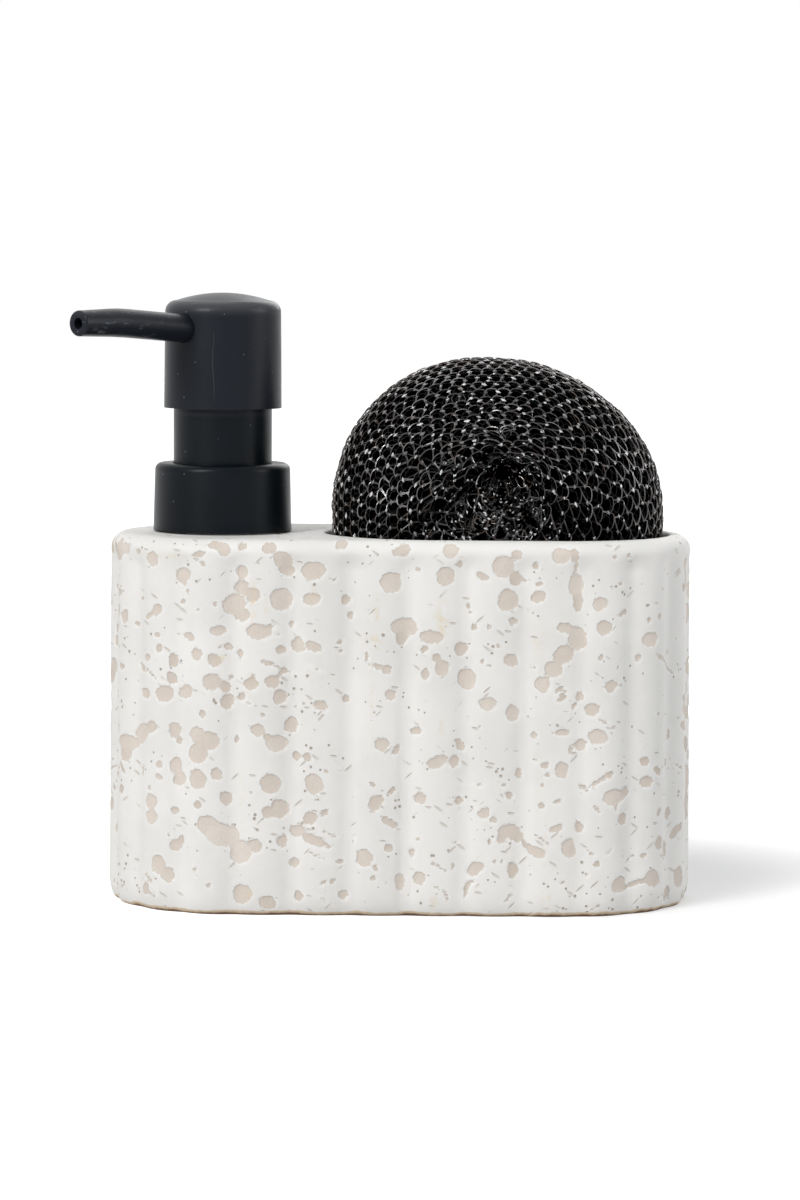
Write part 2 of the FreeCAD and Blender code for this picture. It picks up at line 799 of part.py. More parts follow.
def make_head_shell():
    """Domed outer cap of the head, open below, with a hole for the spout."""
    top_radius = head_radius - head_draft
    dome_radius = top_radius - head_shoulder_round
    dome_z = head_top_z - head_dome_rise
    shoulder_z = dome_z - head_shoulder_round
    round_reach = head_shoulder_round * math.sin(math.pi / 4)
    sphere = (dome_radius ** 2 + head_dome_rise ** 2) / (2 * head_dome_rise)
    half = dome_radius / 2

    def at(radius, height):
        return Vector(pump_x + radius, 0, height)

    half_z = head_top_z - sphere + math.sqrt(sphere ** 2 - half ** 2)
    outline = Part.Wire([
        Part.LineSegment(at(0, head_bottom_z), at(head_radius, head_bottom_z)).toShape(),
        Part.LineSegment(at(head_radius, head_bottom_z), at(top_radius, shoulder_z)).toShape(),
        Part.Arc(
            at(top_radius, shoulder_z), at(dome_radius + round_reach, shoulder_z + round_reach),
            at(dome_radius, dome_z)).toShape(),
        Part.Arc(at(dome_radius, dome_z), at(half, half_z), at(0, head_top_z)).toShape(),
        Part.LineSegment(at(0, head_top_z), at(0, head_bottom_z)).toShape(),
    ])
    shape = Part.Face(outline).revolve(Vector(pump_x, 0, 0), UP, 360)
    shape = shape.cut(drum(head_bore_radius, head_bottom_z - overrun, head_roof_z))
    passing = spout_root_radius + spout_hole_gap
    return shape.cut(spout_loft(passing, passing, head_bore_radius - overrun * 2, head_radius + overrun))


def make_head_core():
    """Inner boss of the head: a socket for the stem and an arm that feeds the spout."""
    shape = drum(core_radius, core_bottom_z, head_roof_z)
    shape = shape.fuse(drum(head_bore_radius, head_roof_z - core_disc_thick, head_roof_z))
    arm_start, slope = spout_place(0)
    way = (spout_way() + UP * slope).normalize()
    shape = shape.fuse(Part.makeCylinder(core_arm_radius, core_arm_reach, arm_start, way))
    shape = shape.cut(drum(stem_radius, core_bottom_z - overrun, stem_top_z))
    shape = shape.cut(drum(core_passage_radius, stem_top_z - overrun, spout_root_z))
    shape = shape.cut(Part.makeCylinder(spout_bore_radius, core_arm_reach + overrun, arm_start, way))
    passing = spout_root_radius + spout_hole_gap
    return shape.cut(spout_loft(passing, passing, core_arm_socket, core_arm_reach + overrun))


def pad_wire(side, crown, crease_shares):
    """Closed outline of one face of the pad: its depth, size and crease shares, creased at mid arc."""
    depth_share, size_share, fold_share = crown
    half_width = pad_width / 2 * size_share
    half_height = (pad_top_z - pad_foot_z) / 2 * size_share
    drawn = (1 - size_share) ** 2
    centre_x = pad_centre_x + gather_x_offset * drawn
    centre_z = (pad_top_z + pad_foot_z) / 2 + gather_z_offset * drawn
    power = 2 / pad_outline_power_share
    points = []
    for step in range(2 * pad_arc_count):
        angle = math.pi * step / pad_arc_count
        facing = max(0, math.cos(angle - math.radians(pad_slump_angle)))
        slump = 1 - pad_slump_share * facing ** pad_slump_power_share
        east = math.copysign(abs(math.cos(angle)) ** power, math.cos(angle)) * slump
        north = math.copysign(abs(math.sin(angle)) ** power, math.sin(angle)) * slump
        fold = pad_crease_depth * fold_share * crease_shares[step // 2] * (step % 2)
        y = side * (depth_share * pad_thick / 2 - fold)
        points.append(Vector(centre_x + half_width * east, y, centre_z + half_height * north))
    edges = []
    for step in range(0, 2 * pad_arc_count, 2):
        last = points[(step + 2) % (2 * pad_arc_count)]
        edges.append(Part.Arc(points[step], points[step + 1], last).toShape())
    return Part.Wire(edges)


def make_scourer_pad():
    """Crowned knitted pad that stands on edge, creased towards a gather on both faces."""
    front = [pad_wire(-1, crown, front_crease_shares) for crown in pad_crown_shares[:0:-1]]
    back = [pad_wire(1, crown, back_crease_shares) for crown in pad_crown_shares]
    return Part.makeLoft(front + back, True, False)


makers = {
    "caddy_body": make_caddy_body,
    "neck_insert": make_neck_insert,
    "insert_seal": make_insert_seal,
    "neck_gasket": make_neck_gasket,
    "pump_housing": make_pump_housing,
    "chaplet": make_chaplet,
    "neck_sleeve": make_neck_sleeve,
    "ball_cage": make_ball_cage,
    "valve_ball": make_valve_ball,
    "dip_tube": make_dip_tube,
    "return_spring": make_return_spring,
    "collar_shell": make_collar_shell,
    "collar_liner": make_collar_liner,
    "stem": make_stem,
    "piston": make_piston,
    "piston_rod": make_piston_rod,
    "spout": make_spout,
    "head_shell": make_head_shell,
    "head_core": make_head_core,
    "scourer_pad": make_scourer_pad,
}

os.makedirs("parts", exist_ok=True)
for name, maker in makers.items():
    shape = maker()
    shape.exportStep("parts/" + name + ".step")
    box = shape.BoundBox
    print(
        name, "solids", len(shape.Solids), "valid", shape.isValid(), "volume", round(shape.Volume, 1),
        "x", round(box.XMin, 1), round(box.XMax, 1), "y", round(box.YMin, 1), round(box.YMax, 1),
        "z", round(box.ZMin, 2), round(box.ZMax, 2))
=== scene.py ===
import json
import math
import random

import bmesh
import bpy
import numpy as np
from mathutils import Matrix, Vector
from mathutils.geometry import delaunay_2d_cdt


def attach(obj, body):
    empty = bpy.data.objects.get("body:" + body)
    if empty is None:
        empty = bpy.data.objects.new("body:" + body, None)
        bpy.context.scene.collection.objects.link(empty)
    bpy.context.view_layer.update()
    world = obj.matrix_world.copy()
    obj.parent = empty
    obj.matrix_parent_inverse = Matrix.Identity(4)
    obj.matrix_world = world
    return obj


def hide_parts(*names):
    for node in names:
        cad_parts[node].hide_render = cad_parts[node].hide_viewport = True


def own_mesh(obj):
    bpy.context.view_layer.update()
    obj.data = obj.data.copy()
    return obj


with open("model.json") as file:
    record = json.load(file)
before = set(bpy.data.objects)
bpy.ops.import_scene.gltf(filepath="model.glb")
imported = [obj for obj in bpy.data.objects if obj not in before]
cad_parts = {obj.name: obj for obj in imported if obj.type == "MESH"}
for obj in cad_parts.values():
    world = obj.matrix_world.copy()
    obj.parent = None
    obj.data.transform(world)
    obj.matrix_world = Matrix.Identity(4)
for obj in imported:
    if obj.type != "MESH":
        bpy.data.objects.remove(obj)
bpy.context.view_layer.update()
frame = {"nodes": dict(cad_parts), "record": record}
nodes = frame["nodes"]

MM = 0.001
SEED = 28
WELD = 2e-6                     # m, corners closer than this are one

# Camera, solved from the photograph's edges: place in metres, pitch and roll in degrees, lens and film in mm
CAMERA_PLACE = (-0.00017, -1.1194, 0.1749)
CAMERA_PITCH = 4.889
CAMERA_ROLL = 0.383
FOCAL_LENGTH = 127.34
FILM_HEIGHT = 36.0

# Lamps: name, place and side in metres, power in watts, tint
LAMPS = (
    ("key", (-2.6, -3.1, 2.0), 1.2, 134.0, (1.0, 0.995, 0.985)),
    ("sparkle", (-0.7, -1.5, 1.3), 0.16, 3.0, (1.0, 1.0, 1.0)),
    ("right_fill", (1.5, -0.25, 0.6), 0.8, 8.5, (1.0, 1.0, 1.0)),
    ("top", (-0.3, 0.45, 1.4), 0.9, 5.0, (1.0, 1.0, 1.0)),
    ("back", (0.5, 1.5, 0.8), 0.9, 5.0, (1.0, 1.0, 1.0)),
)
LAMP_AIM = (0.0, 0.0, 0.08)
WORLD_LEVEL = (0.04, 0.43)      # light of the surroundings from the left end to the right end
GLOW_MIDDLE = (0.05, 0.04, 0)   # m, where the floor's glow for the camera is least
GLOW_REACH = (0.03, 0.135)      # m from there over which the glow grows
GLOW_LEVEL = (0.35, 1.0)        # its strength there and beyond

# Ceramic body, in mm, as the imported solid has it
HALF_STRAIGHT = 42.0
END_RADIUS = 35.0
BODY_HEIGHT = 97.2
BODY_DRAFT = 0.5
RIM_ROUND = 4.0
FOOT_ROUND_IN = 2.0
FOOT_ROUND_UP = 6.5
RIB_COUNT = 26
RIB_DEPTH = 1.3
VALLEY_HALF_WIDTH = 2.0
FRONT_VALLEY = 1.8
RIB_FADE = (8.0, 2.0)           # from the top down to where the ribs are whole, and to where they end
RIM_RIB_SHARE = 0.03
FOOT_RIB_SHARE = 0.55
AROUND = 4 * HALF_STRAIGHT + 2 * math.pi * END_RADIUS
RIB_PITCH = AROUND / RIB_COUNT

# The glaze skin's grid and its bare spots, in mm
SKIN_COLUMNS = 584
SKIN_ROW_STEP = 0.675
ROUND_ROWS = 11                 # rows over each of the foot's and the rim's rounds
SPOT_DEPTH = 0.19
SPOT_LIP = 0.05
SPOT_WANDER = 0.3               # how far their edges wander
NO_SPOT = 3.0                   # distance kept where no spot is near
STREWN_SPOTS = 560
STREWN_FROM = 84.0              # run from the front middle, past which the spots are strewn
DECK_SPOTS = 46
DECK_STEP = 0.9
DECK_SPAN = (-72.0, -12.0)      # x of the part of the deck in small triangles
DECK_SLACK = 0.004              # how far below the top a face still counts as the deck
EDGE_SLACK = 0.01               # how far from the top or the foot an open edge still counts as there
SMOOTH_ANGLE = 42.0             # degrees

# Two enlarged crops of the photograph, in which the front's bare spots were read: places in pixels
PHOTO_SIZE = (800, 1200)
CROP_TOP = 515
CROP_LEFTS = (100, 400)
CROP_ZOOM = 4.82

# Camera that carries those readings onto the body, an early solution a little off the one above: place in mm,
# pitch in degrees, focal length in pixels
READING_CAMERA = (-0.24, -1134.0, 204.9)
READING_PITCH = 6.32
READING_FOCAL = 4303.0
READING_REACH = (1050.0, 1180.0, 0.05)      # mm along a line of sight: first, last, step
READING_INSET = 0.5             # mm from the plan outline in to halfway down the ribs
LEAST_FACING = 0.35             # below this a width seen at a slant isn't widened further

# Bare spots on the front as they were read: the middle's place, half width and half height in pixels of the
# enlarged crop, and the turn in degrees of those that are turned
LEFT_SPOTS = (
    (125, 180, 30, 26), (193, 198, 12, 12), (262, 238, 30, 34), (480, 215, 36, 16, -12), (560, 170, 40, 20),
    (600, 192, 30, 36), (690, 172, 24, 18), (820, 182, 34, 28), (880, 240, 50, 40, 35), (905, 290, 36, 28),
    (1035, 290, 60, 40), (690, 300, 30, 28), (400, 310, 40, 34), (395, 340, 36, 16, 40), (690, 375, 36, 36),
    (740, 410, 38, 34), (650, 455, 56, 50), (690, 505, 46, 34), (878, 430, 54, 54), (1025, 428, 48, 26, -8),
    (105, 388, 18, 18), (130, 505, 16, 27, 20), (285, 480, 30, 20, -40), (245, 508, 22, 8, -30),
    (400, 440, 15, 12), (175, 545, 12, 12), (282, 600, 16, 16), (432, 608, 32, 20, 20), (577, 580, 42, 19),
    (770, 585, 60, 34, 10), (820, 562, 28, 12, -10), (1190, 432, 24, 21), (1210, 505, 17, 21),
    (928, 552, 13, 17), (960, 645, 30, 42), (1035, 655, 40, 24, 20), (878, 672, 26, 19, 15),
    (295, 665, 17, 17), (475, 695, 27, 27), (558, 725, 34, 31), (625, 660, 22, 15, 30), (683, 692, 16, 22),
    (235, 705, 18, 19), (356, 722, 22, 32), (118, 748, 14, 14), (205, 755, 24, 12, 30),
    (250, 780, 40, 6, 30), (805, 730, 28, 9, 25), (870, 755, 60, 5, 27), (350, 810, 24, 28),
    (320, 882, 42, 44), (415, 875, 38, 32, -20), (225, 880, 30, 30), (550, 828, 46, 38), (610, 850, 24, 24),
    (735, 838, 36, 28), (745, 800, 8, 24), (840, 822, 36, 32), (872, 898, 34, 34), (875, 785, 8, 30, 40),
    (690, 895, 19, 19), (622, 922, 34, 36), (728, 928, 12, 12), (1070, 935, 38, 24, 10),
    (1188, 903, 20, 17), (503, 978, 17, 17), (930, 1030, 34, 36), (1410, 885, 29, 26, -20),
    (205, 1070, 44, 36, -30), (140, 1110, 44, 38), (135, 1160, 26, 40), (262, 1040, 30, 30),
    (365, 1060, 27, 40), (385, 1108, 18, 14), (480, 1080, 38, 40), (530, 1110, 58, 42, 10),
    (480, 1172, 48, 44), (768, 1055, 34, 32), (812, 1090, 22, 18, 40), (860, 1122, 52, 40, 5),
    (665, 1100, 11, 22), (958, 1178, 17, 18), (1012, 1185, 19, 18), (1365, 1120, 36, 34),
    (1430, 1150, 18, 28, 30), (300, 1222, 15, 15), (372, 1232, 28, 42), (390, 1290, 34, 34),
    (480, 1292, 45, 45), (572, 1270, 30, 28), (832, 1312, 50, 44), (1042, 1312, 44, 48), (95, 1255, 13, 32),
    (298, 1278, 20, 11, 30), (252, 1335, 14, 14), (262, 1398, 32, 34), (262, 1470, 30, 36),
    (485, 1415, 22, 15, 40), (618, 1385, 33, 33), (368, 1440, 18, 17), (820, 1450, 28, 28),
    (878, 1432, 44, 44), (1022, 1475, 32, 32), (1090, 1450, 20, 13, -35), (530, 1510, 52, 46),
    (600, 1560, 90, 52, 15), (690, 1640, 52, 60), (755, 1612, 40, 32), (960, 1540, 38, 30),
    (1040, 1580, 62, 24, 22), (1095, 1605, 36, 9, 20), (890, 1590, 27, 28), (375, 1608, 31, 28),
    (400, 1575, 12, 20), (298, 1700, 32, 44, -15), (340, 1752, 30, 38), (950, 1690, 22, 26, -30),
    (1165, 1685, 16, 13), (1282, 1665, 42, 45), (238, 1812, 18, 26, 15), (700, 1842, 46, 44),
    (820, 1885, 46, 32, 20), (968, 1850, 22, 24), (1187, 1845, 27, 26), (1338, 1400, 32, 44, 30),
    (1400, 1490, 52, 14, 28), (1405, 1618, 24, 17, 10), (1405, 345, 52, 48), (1165, 165, 28, 20),
    (1290, 705, 9, 26), (1335, 748, 40, 9, 15), (1388, 765, 22, 20), (1432, 200, 22, 20),
    (1165, 630, 15, 9), (1163, 675, 12, 12), (540, 1800, 12, 12), (120, 1332, 11, 20),
    (92, 1780, 13, 42, -15), (283, 1845, 11, 9), (560, 452, 10, 10), (205, 425, 10, 9), (422, 396, 9, 9),
    (480, 482, 9, 9), (500, 258, 14, 7, 30), (1130, 330, 14, 7, -40), (860, 598, 12, 8), (585, 660, 9, 9),
    (790, 985, 9, 9), (950, 942, 9, 9), (1095, 1250, 9, 9), (1168, 1248, 16, 7), (720, 1630, 9, 9),
    (345, 1556, 9, 9), (470, 1722, 9, 9), (480, 1752, 8, 8), (1085, 1782, 16, 9, -30),
    (1132, 1776, 10, 14, 30), (1340, 1712, 11, 18, -30), (1325, 1762, 12, 10), (1062, 1660, 44, 5, 30),
    (1110, 1550, 42, 5, 25), (255, 1770, 40, 5, 40), (1075, 1860, 30, 4, 40), (640, 810, 10, 12),
    (1230, 1575, 5, 18), (210, 1245, 5, 26, 10), (120, 1225, 30, 5, 40), (1075, 990, 30, 4, -50),
    (1045, 760, 24, 4, 25), (740, 1358, 9, 9), (1320, 1312, 16, 9, 35), (1415, 1345, 22, 9, -30),
)
RIGHT_SPOTS = (
    (20, 192, 30, 28), (245, 190, 38, 34), (220, 312, 44, 46), (85, 283, 12, 12), (290, 255, 17, 15),
    (500, 268, 54, 52), (560, 210, 25, 26), (558, 325, 27, 40), (520, 428, 52, 54), (668, 410, 38, 24, -20),
    (398, 312, 36, 15, 32), (658, 262, 15, 19), (775, 212, 50, 38), (842, 210, 22, 38), (848, 275, 8, 28),
    (848, 350, 38, 60), (858, 430, 24, 50), (962, 438, 38, 28, -15), (1073, 482, 28, 13, -38),
    (985, 555, 38, 34), (1203, 605, 35, 34), (545, 530, 20, 17), (360, 552, 15, 20), (25, 560, 66, 46),
    (10, 610, 30, 36), (155, 605, 56, 30, 8), (125, 665, 25, 14, -30), (298, 662, 34, 30, 10),
    (205, 752, 34, 40), (180, 702, 22, 20), (128, 783, 22, 22), (325, 805, 42, 48), (540, 712, 36, 30),
    (800, 560, 46, 22, 10), (860, 610, 48, 56), (790, 685, 48, 44), (740, 755, 46, 40), (690, 828, 38, 34),
    (1017, 835, 32, 27), (427, 925, 42, 32, -10), (543, 968, 32, 36), (868, 882, 24, 19, -20),
    (928, 950, 36, 36), (990, 1015, 44, 5, 28), (955, 1078, 46, 42), (872, 1118, 30, 28),
    (1180, 1190, 20, 20), (1190, 1288, 28, 26), (1237, 1235, 28, 13, 30), (85, 1058, 28, 19),
    (185, 1205, 50, 28, -22), (268, 1200, 26, 32), (300, 1128, 22, 20, 30), (285, 1105, 18, 9),
    (785, 1058, 38, 18, -8), (648, 1075, 16, 18), (785, 1235, 31, 42), (705, 1215, 20, 18),
    (580, 1260, 17, 24), (975, 1280, 58, 11, -28), (1015, 1262, 20, 14, -30), (890, 1322, 30, 9, 35),
    (1035, 1365, 56, 44), (1088, 1340, 24, 26), (1045, 1415, 8, 22), (1078, 1470, 24, 29),
    (100, 1378, 28, 26), (290, 1388, 20, 19), (535, 1365, 19, 21), (415, 1445, 30, 24, -15),
    (455, 1478, 18, 17), (530, 1535, 50, 34), (500, 1565, 26, 22), (575, 1560, 36, 26, 20),
    (660, 1630, 52, 26, 25), (620, 1600, 30, 14, 40), (760, 1520, 36, 18, -25), (872, 1515, 24, 26),
    (820, 1615, 36, 48), (370, 1712, 44, 30, -30), (552, 1720, 26, 38), (105, 1765, 29, 29),
    (8, 1780, 26, 40), (70, 1640, 17, 19), (1060, 1785, 40, 40, -20), (1140, 1778, 60, 12, -18),
    (1220, 1750, 36, 36, 20), (1248, 1580, 19, 30), (1285, 1605, 13, 40), (1342, 1735, 18, 50),
    (1335, 1515, 30, 14, -30), (1372, 1090, 18, 40), (1376, 880, 12, 28), (1358, 1005, 14, 17),
    (1295, 1820, 26, 16, -50), (950, 1425, 26, 9, 40), (1150, 700, 12, 17), (1245, 690, 28, 9, 20),
    (1295, 730, 40, 4, 35), (175, 1695, 26, 8, 30), (215, 1718, 34, 6, 32), (700, 1575, 40, 5, 35),
    (915, 1630, 28, 5, 35), (1005, 1625, 28, 7, -30), (958, 1690, 13, 14), (1120, 1660, 32, 5, -35),
    (1175, 1640, 16, 10), (190, 1808, 32, 5, 30), (235, 1845, 8, 26, -20), (322, 1830, 7, 26, 10),
    (345, 1788, 28, 8, -30), (525, 1855, 26, 5, -45), (955, 1890, 26, 5, -30), (910, 492, 9, 9),
    (430, 552, 9, 9), (335, 455, 6, 14), (345, 490, 16, 6, 20), (600, 338, 9, 9), (672, 350, 16, 6, -20),
    (1015, 362, 18, 8, 30), (1055, 340, 18, 7, 20), (1100, 205, 10, 10), (1030, 215, 14, 12),
    (1240, 490, 8, 14, 20), (1195, 515, 8, 14, 20), (1355, 350, 8, 14, 20), (475, 648, 12, 12),
    (400, 720, 9, 12), (435, 740, 16, 8, 30), (640, 745, 16, 6, 30), (965, 700, 12, 12), (385, 1035, 10, 9),
    (765, 855, 26, 7, -30), (785, 895, 30, 9, -25), (790, 870, 20, 5, -20), (845, 935, 9, 20, 30),
    (1238, 960, 10, 10), (1305, 1060, 9, 26, 10), (1290, 1190, 6, 18, 10), (385, 1312, 26, 7, 10),
    (505, 1310, 14, 7, -30), (765, 1390, 24, 6, -25), (685, 1408, 14, 16), (825, 1140, 10, 18, 20),
    (1345, 1210, 20, 5, 25), (1335, 760, 5, 5), (1300, 1440, 14, 26, 10), (1245, 1430, 18, 8, -50),
    (270, 1590, 20, 6, -25), (90, 1575, 20, 6, -25), (440, 1580, 12, 15), (500, 1680, 9, 9),
    (465, 1680, 8, 8), (905, 1742, 9, 9), (790, 1780, 14, 7, -25), (265, 1700, 10, 18, 10),
    (720, 1265, 12, 9), (655, 1195, 12, 9), (690, 1305, 9, 9), (1068, 830, 6, 6), (770, 760, 5, 5),
)

# Ochre stains on the front: run, height, half width and half height in mm, strength
STAINS = (
    (-37.8, 80.5, 0.6, 5.5, 0.8), (-34.5, 80.0, 0.5, 2.2, 0.6), (-6.2, 78.0, 0.5, 6.0, 0.6),
    (-7.0, 71.0, 1.8, 1.6, 0.8), (-38.5, 60.0, 1.2, 2.6, 0.35), (-7.4, 55.0, 0.5, 8.0, 0.45),
    (10.6, 76.5, 1.6, 5.0, 0.55), (10.6, 50.0, 0.6, 4.0, 0.4), (-38.9, 5.0, 1.6, 1.2, 0.7),
    (-40.5, 30.0, 0.6, 9.0, 0.25), (38.0, 4.6, 1.6, 2.0, 0.55), (9.0, 4.4, 1.0, 1.6, 0.5),
    (37.6, 18.0, 0.4, 7.0, 0.35), (36.2, 36.0, 0.5, 7.0, 0.3), (-60.0, 92.6, 5.0, 0.8, 0.4),
    (-46.0, 66.5, 2.2, 0.9, 0.7), (35.5, 72.0, 2.0, 5.0, 0.25), (-22.0, 84.0, 1.2, 1.6, 0.25),
)
STAINS_BEFORE = -20.0           # y in front of which they lie

# Colours of the ceramic
GLAZE, PALE_GLAZE, LIP_GLAZE = (0.81, 0.802, 0.778), (0.87, 0.86, 0.836), (0.90, 0.89, 0.87)
CLAY, PALE_CLAY = (0.67, 0.592, 0.52), (0.80, 0.732, 0.67)
# The clay's edge colour is painted shade: it darkens the clay just inside each recessed spot's edge.
CLAY_GRAIN, SHADED_CLAY_EDGE = (0.62, 0.545, 0.475), (0.57, 0.50, 0.425)
PINHOLE, SLASH, OCHRE = (0.50, 0.43, 0.36), (0.66, 0.58, 0.50), (0.80, 0.66, 0.44)
# The foot's edge colour is dark brown bare clay together with painted contact shade along the bottom.
BARE_FOOT, FOOT_EDGE_AND_CONTACT_SHADE = (0.66, 0.53, 0.38), (0.16, 0.09, 0.05)

# Scourer pad, in mm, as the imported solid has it
PAD_MIDDLE = (25.5, 102.1)
PAD_HALF_WIDTH = 43.7
PAD_HALF_HEIGHT = 41.7
PAD_HALF_THICK = 22.0
PAD_POWER = 2.2
PAD_SLUMP = (0.055, 52.0, 6)    # flatter upper right side: share, angle in degrees, power

# The pad's face from its gather to its rim: shares of the pad's size, its depth and the creases' depth
CROWN_STEPS = 24
PAD_CROWN = (
    (0.0, 0.825, 0), (0.04, 0.84, 0), (0.12, 0.9, 0.5), (0.24, 0.965, 0.9), (0.4, 0.985, 1),
    (0.58, 0.92, 0.75), (0.76, 0.78, 0.3), (0.9, 0.55, 0), (0.975, 0.3, 0), (1.0, 0.0, 0),
)
GATHER = (1.0, 13.0)            # x and z from the pad's middle
CREASE_DEPTH = 3.6

# Shares of that depth in the creases round each face
FRONT_CREASES = (0.3, 0, 0.4, 1, 0.6, 0.3, 0.7, 0.95)
BACK_CREASES = (0.95, 0.2, 0.4, 0, 0.95, 0.7, 0, 0.9)

# Finer folds drawn in towards the gather: start, end, half width and depth, in mm
FRONT_FOLDS = (
    ((25, 115), (6, 121.5), 2.6, 2.2), ((25, 113), (11, 103), 2.8, 2.0), ((30, 112), (58, 103), 2.2, 1.9),
    ((27, 112), (29, 96), 2.6, 1.9), ((30, 118), (46, 122), 2.2, 1.6), ((24, 118), (23, 130), 2.0, 1.5),
    ((26, 114), (41, 98), 2.0, 1.8), ((12, 102), (10, 92), 2.6, 1.6),
)
BACK_FOLDS = (
    ((26, 115), (46, 124), 2.6, 2.0), ((26, 114), (44, 104), 2.6, 2.0), ((24, 113), (2, 110), 2.4, 1.9),
    ((27, 112), (22, 95), 2.6, 1.9), ((25, 118), (14, 127), 2.2, 1.6), ((26, 118), (30, 131), 2.0, 1.5),
)
CRUMPLE = (21.0, 108.0, 19.0, 17.0)         # crumpled patch: middle's x and z, half width, half height

# Knitted net: depth under the pad's surface, row pitch, cell width, half thickness of the thread, in mm,
# and points along each loop. The layer under it has no flakes and no crossing threads.
NET = {"sink": 0.4, "pitch": 2.85, "width": 3.5, "thread": 0.145, "detail": 10}
UNDER_NET = {"sink": 1.0, "pitch": 2.9, "width": 3.3, "thread": 0.085, "detail": 7, "knotted": False}
INNERMOST_ROW = 5.0             # travel from the gather at which the rows end
CROSSING_THREAD = 0.085
RIM_CELL = 3.15
WIDE_SIDE = 0.25                # radians, the side towards which the cells are wider
# Depth and rows of the dark sheet under the net, which is painted shade
SHADE_SHEET_SINK = 1.2
SHADE_SHEET_ROWS = 90
GATHER_LOOPS, GATHER_SLIPS = 110, 420

# Half width, half height and half thickness of the glossy flakes, in mm. Those on knots thicken to the rim.
KNOT_FLAKE = (0.72, 0.42)
CROWN_FLAKE = (0.5, 0.3, 0.16)
SLIP_FLAKE = (0.5, 0.27, 0.14)
# The thread's glint colour is a painted glint: the pale colour that each corner's painted glint mark blends
# the thread towards.
THREAD_BLACK, THREAD_BROWN, THREAD_GLINT = (0.007, 0.0075, 0.0085), (0.050, 0.031, 0.021), (0.86, 0.87, 0.89)

# Pump: in metres where its plastic turns to the head's paler black, a painted sheen, and to the top's still
# paler black, a painted highlight; where the rubbed spout starts; and where the mould's seam crosses it
HEAD_EDGE = (0.1275, 0.1285)
HEAD_TOP = (0.1535, 0.1575)
SPOUT_START = (-0.0650, -0.0600)
SEAM_PLACE = -0.0490
# The head's paler black is a painted sheen; the top's paler black is a painted highlight.
HEAD_SHEEN_BLACK, TOP_HIGHLIGHT_BLACK = (0.0100, 0.0125, 0.0180), (0.062, 0.065, 0.071)
RUBBED_BLACK, SEAM_BLACK, DUST = (0.17, 0.19, 0.21), (0.060, 0.055, 0.052), (0.24, 0.26, 0.28)


def placed(name, data):
    """New object of the scene with this mesh, lamp or camera."""
    piece = bpy.data.objects.new(name, data)
    bpy.context.scene.collection.objects.link(piece)
    return piece


def shaped(name, points, faces, smooth=True):
    """New object with a mesh from points in mm and lists of corner numbers."""
    mesh = bpy.data.meshes.new(name)
    mesh.from_pydata((np.asarray(points) * MM).tolist(), [], faces)
    mesh.validate()
    mesh.polygons.foreach_set("use_smooth", [smooth] * len(mesh.polygons))
    return placed(name, mesh)


def welded_copy(node, name):
    """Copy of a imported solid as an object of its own, with the corners that touch joined."""
    piece = placed(name, nodes[node].data.copy())
    piece.data.name = name
    form = bmesh.new()
    form.from_mesh(piece.data)
    bmesh.ops.remove_doubles(form, verts=form.verts, dist=WELD)
    form.to_mesh(piece.data)
    form.free()
    return piece


def marked(mesh, name, values):
    """Stores a number for each corner, which the finishes read."""
    mesh.attributes.new(name, "FLOAT", "POINT").data.foreach_set("value", values)


def corner_places(mesh):
    """Places of a mesh's corners in metres."""
    flat = np.zeros(len(mesh.vertices) * 3)
    mesh.vertices.foreach_get("co", flat)
    return flat.reshape(-1, 3)


def only(piece):
    """Makes this piece the one that the operators act on."""
    bpy.ops.object.select_all(action="DESELECT")
    piece.select_set(True)
    bpy.context.view_layer.objects.active = piece


def wave(a, b, seed):
    """Smooth noise of two coordinates in mm, about -1 to 1, made of a few crossing waves."""
    turn = random.Random(seed)
    total = np.zeros_like(a)
    for step in range(5):
        way = turn.uniform(0, 2 * math.pi)
        pitch = turn.uniform(0.75, 1.35) * (1.6 ** step)
        total += np.sin((a * math.cos(way) + b * math.sin(way)) * pitch + turn.uniform(0, 6)) / (1.5 ** step)
    return total / 2.2


def ringed(around):
    """Places on the plan outline, in mm, and the outward ways there, for runs round the body."""
    run = np.mod(around, AROUND)
    turn = math.pi * END_RADIUS
    x = np.zeros_like(run)
    y = np.zeros_like(run)
    out = np.zeros((len(run), 2))
    edges = np.cumsum([HALF_STRAIGHT, turn, 2 * HALF_STRAIGHT, turn, HALF_STRAIGHT])
    part = np.searchsorted(edges, run, side="right")
    left = run - np.concatenate(([0], edges))[np.minimum(part, 4)]
    for index in range(5):
        here = part == index
        if index in (0, 4):
            x[here] = left[here] - (HALF_STRAIGHT if index == 4 else 0)
            y[here] = -END_RADIUS
            out[here] = (0, -1)
        elif index == 2:
            x[here] = HALF_STRAIGHT - left[here]
            y[here] = END_RADIUS
            out[here] = (0, 1)
        else:
            angle = left[here] / END_RADIUS + (-0.5 if index == 1 else 0.5) * math.pi
            middle = HALF_STRAIGHT if index == 1 else -HALF_STRAIGHT
            out[here] = np.stack((np.cos(angle), np.sin(angle)), 1)
            x[here] = middle + END_RADIUS * np.cos(angle)
            y[here] = END_RADIUS * np.sin(angle)
    return np.stack((x, y), 1), out


def valley(run):
    """Share of the ribs' depth at runs round the body: soft valleys between broad round ribs."""
    across = np.mod(run - FRONT_VALLEY + RIB_PITCH / 2, RIB_PITCH) - RIB_PITCH / 2
    edge = 1 - 2 * VALLEY_HALF_WIDTH / RIB_PITCH
    crest_half = RIB_PITCH / 2 - VALLEY_HALF_WIDTH
    in_valley = 1 - (1 - edge) * (across / VALLEY_HALF_WIDTH) ** 2
    on_rib = edge * ((RIB_PITCH / 2 - np.abs(across)) / crest_half) ** 2
    return np.where(np.abs(across) < VALLEY_HALF_WIDTH, in_valley, on_rib)


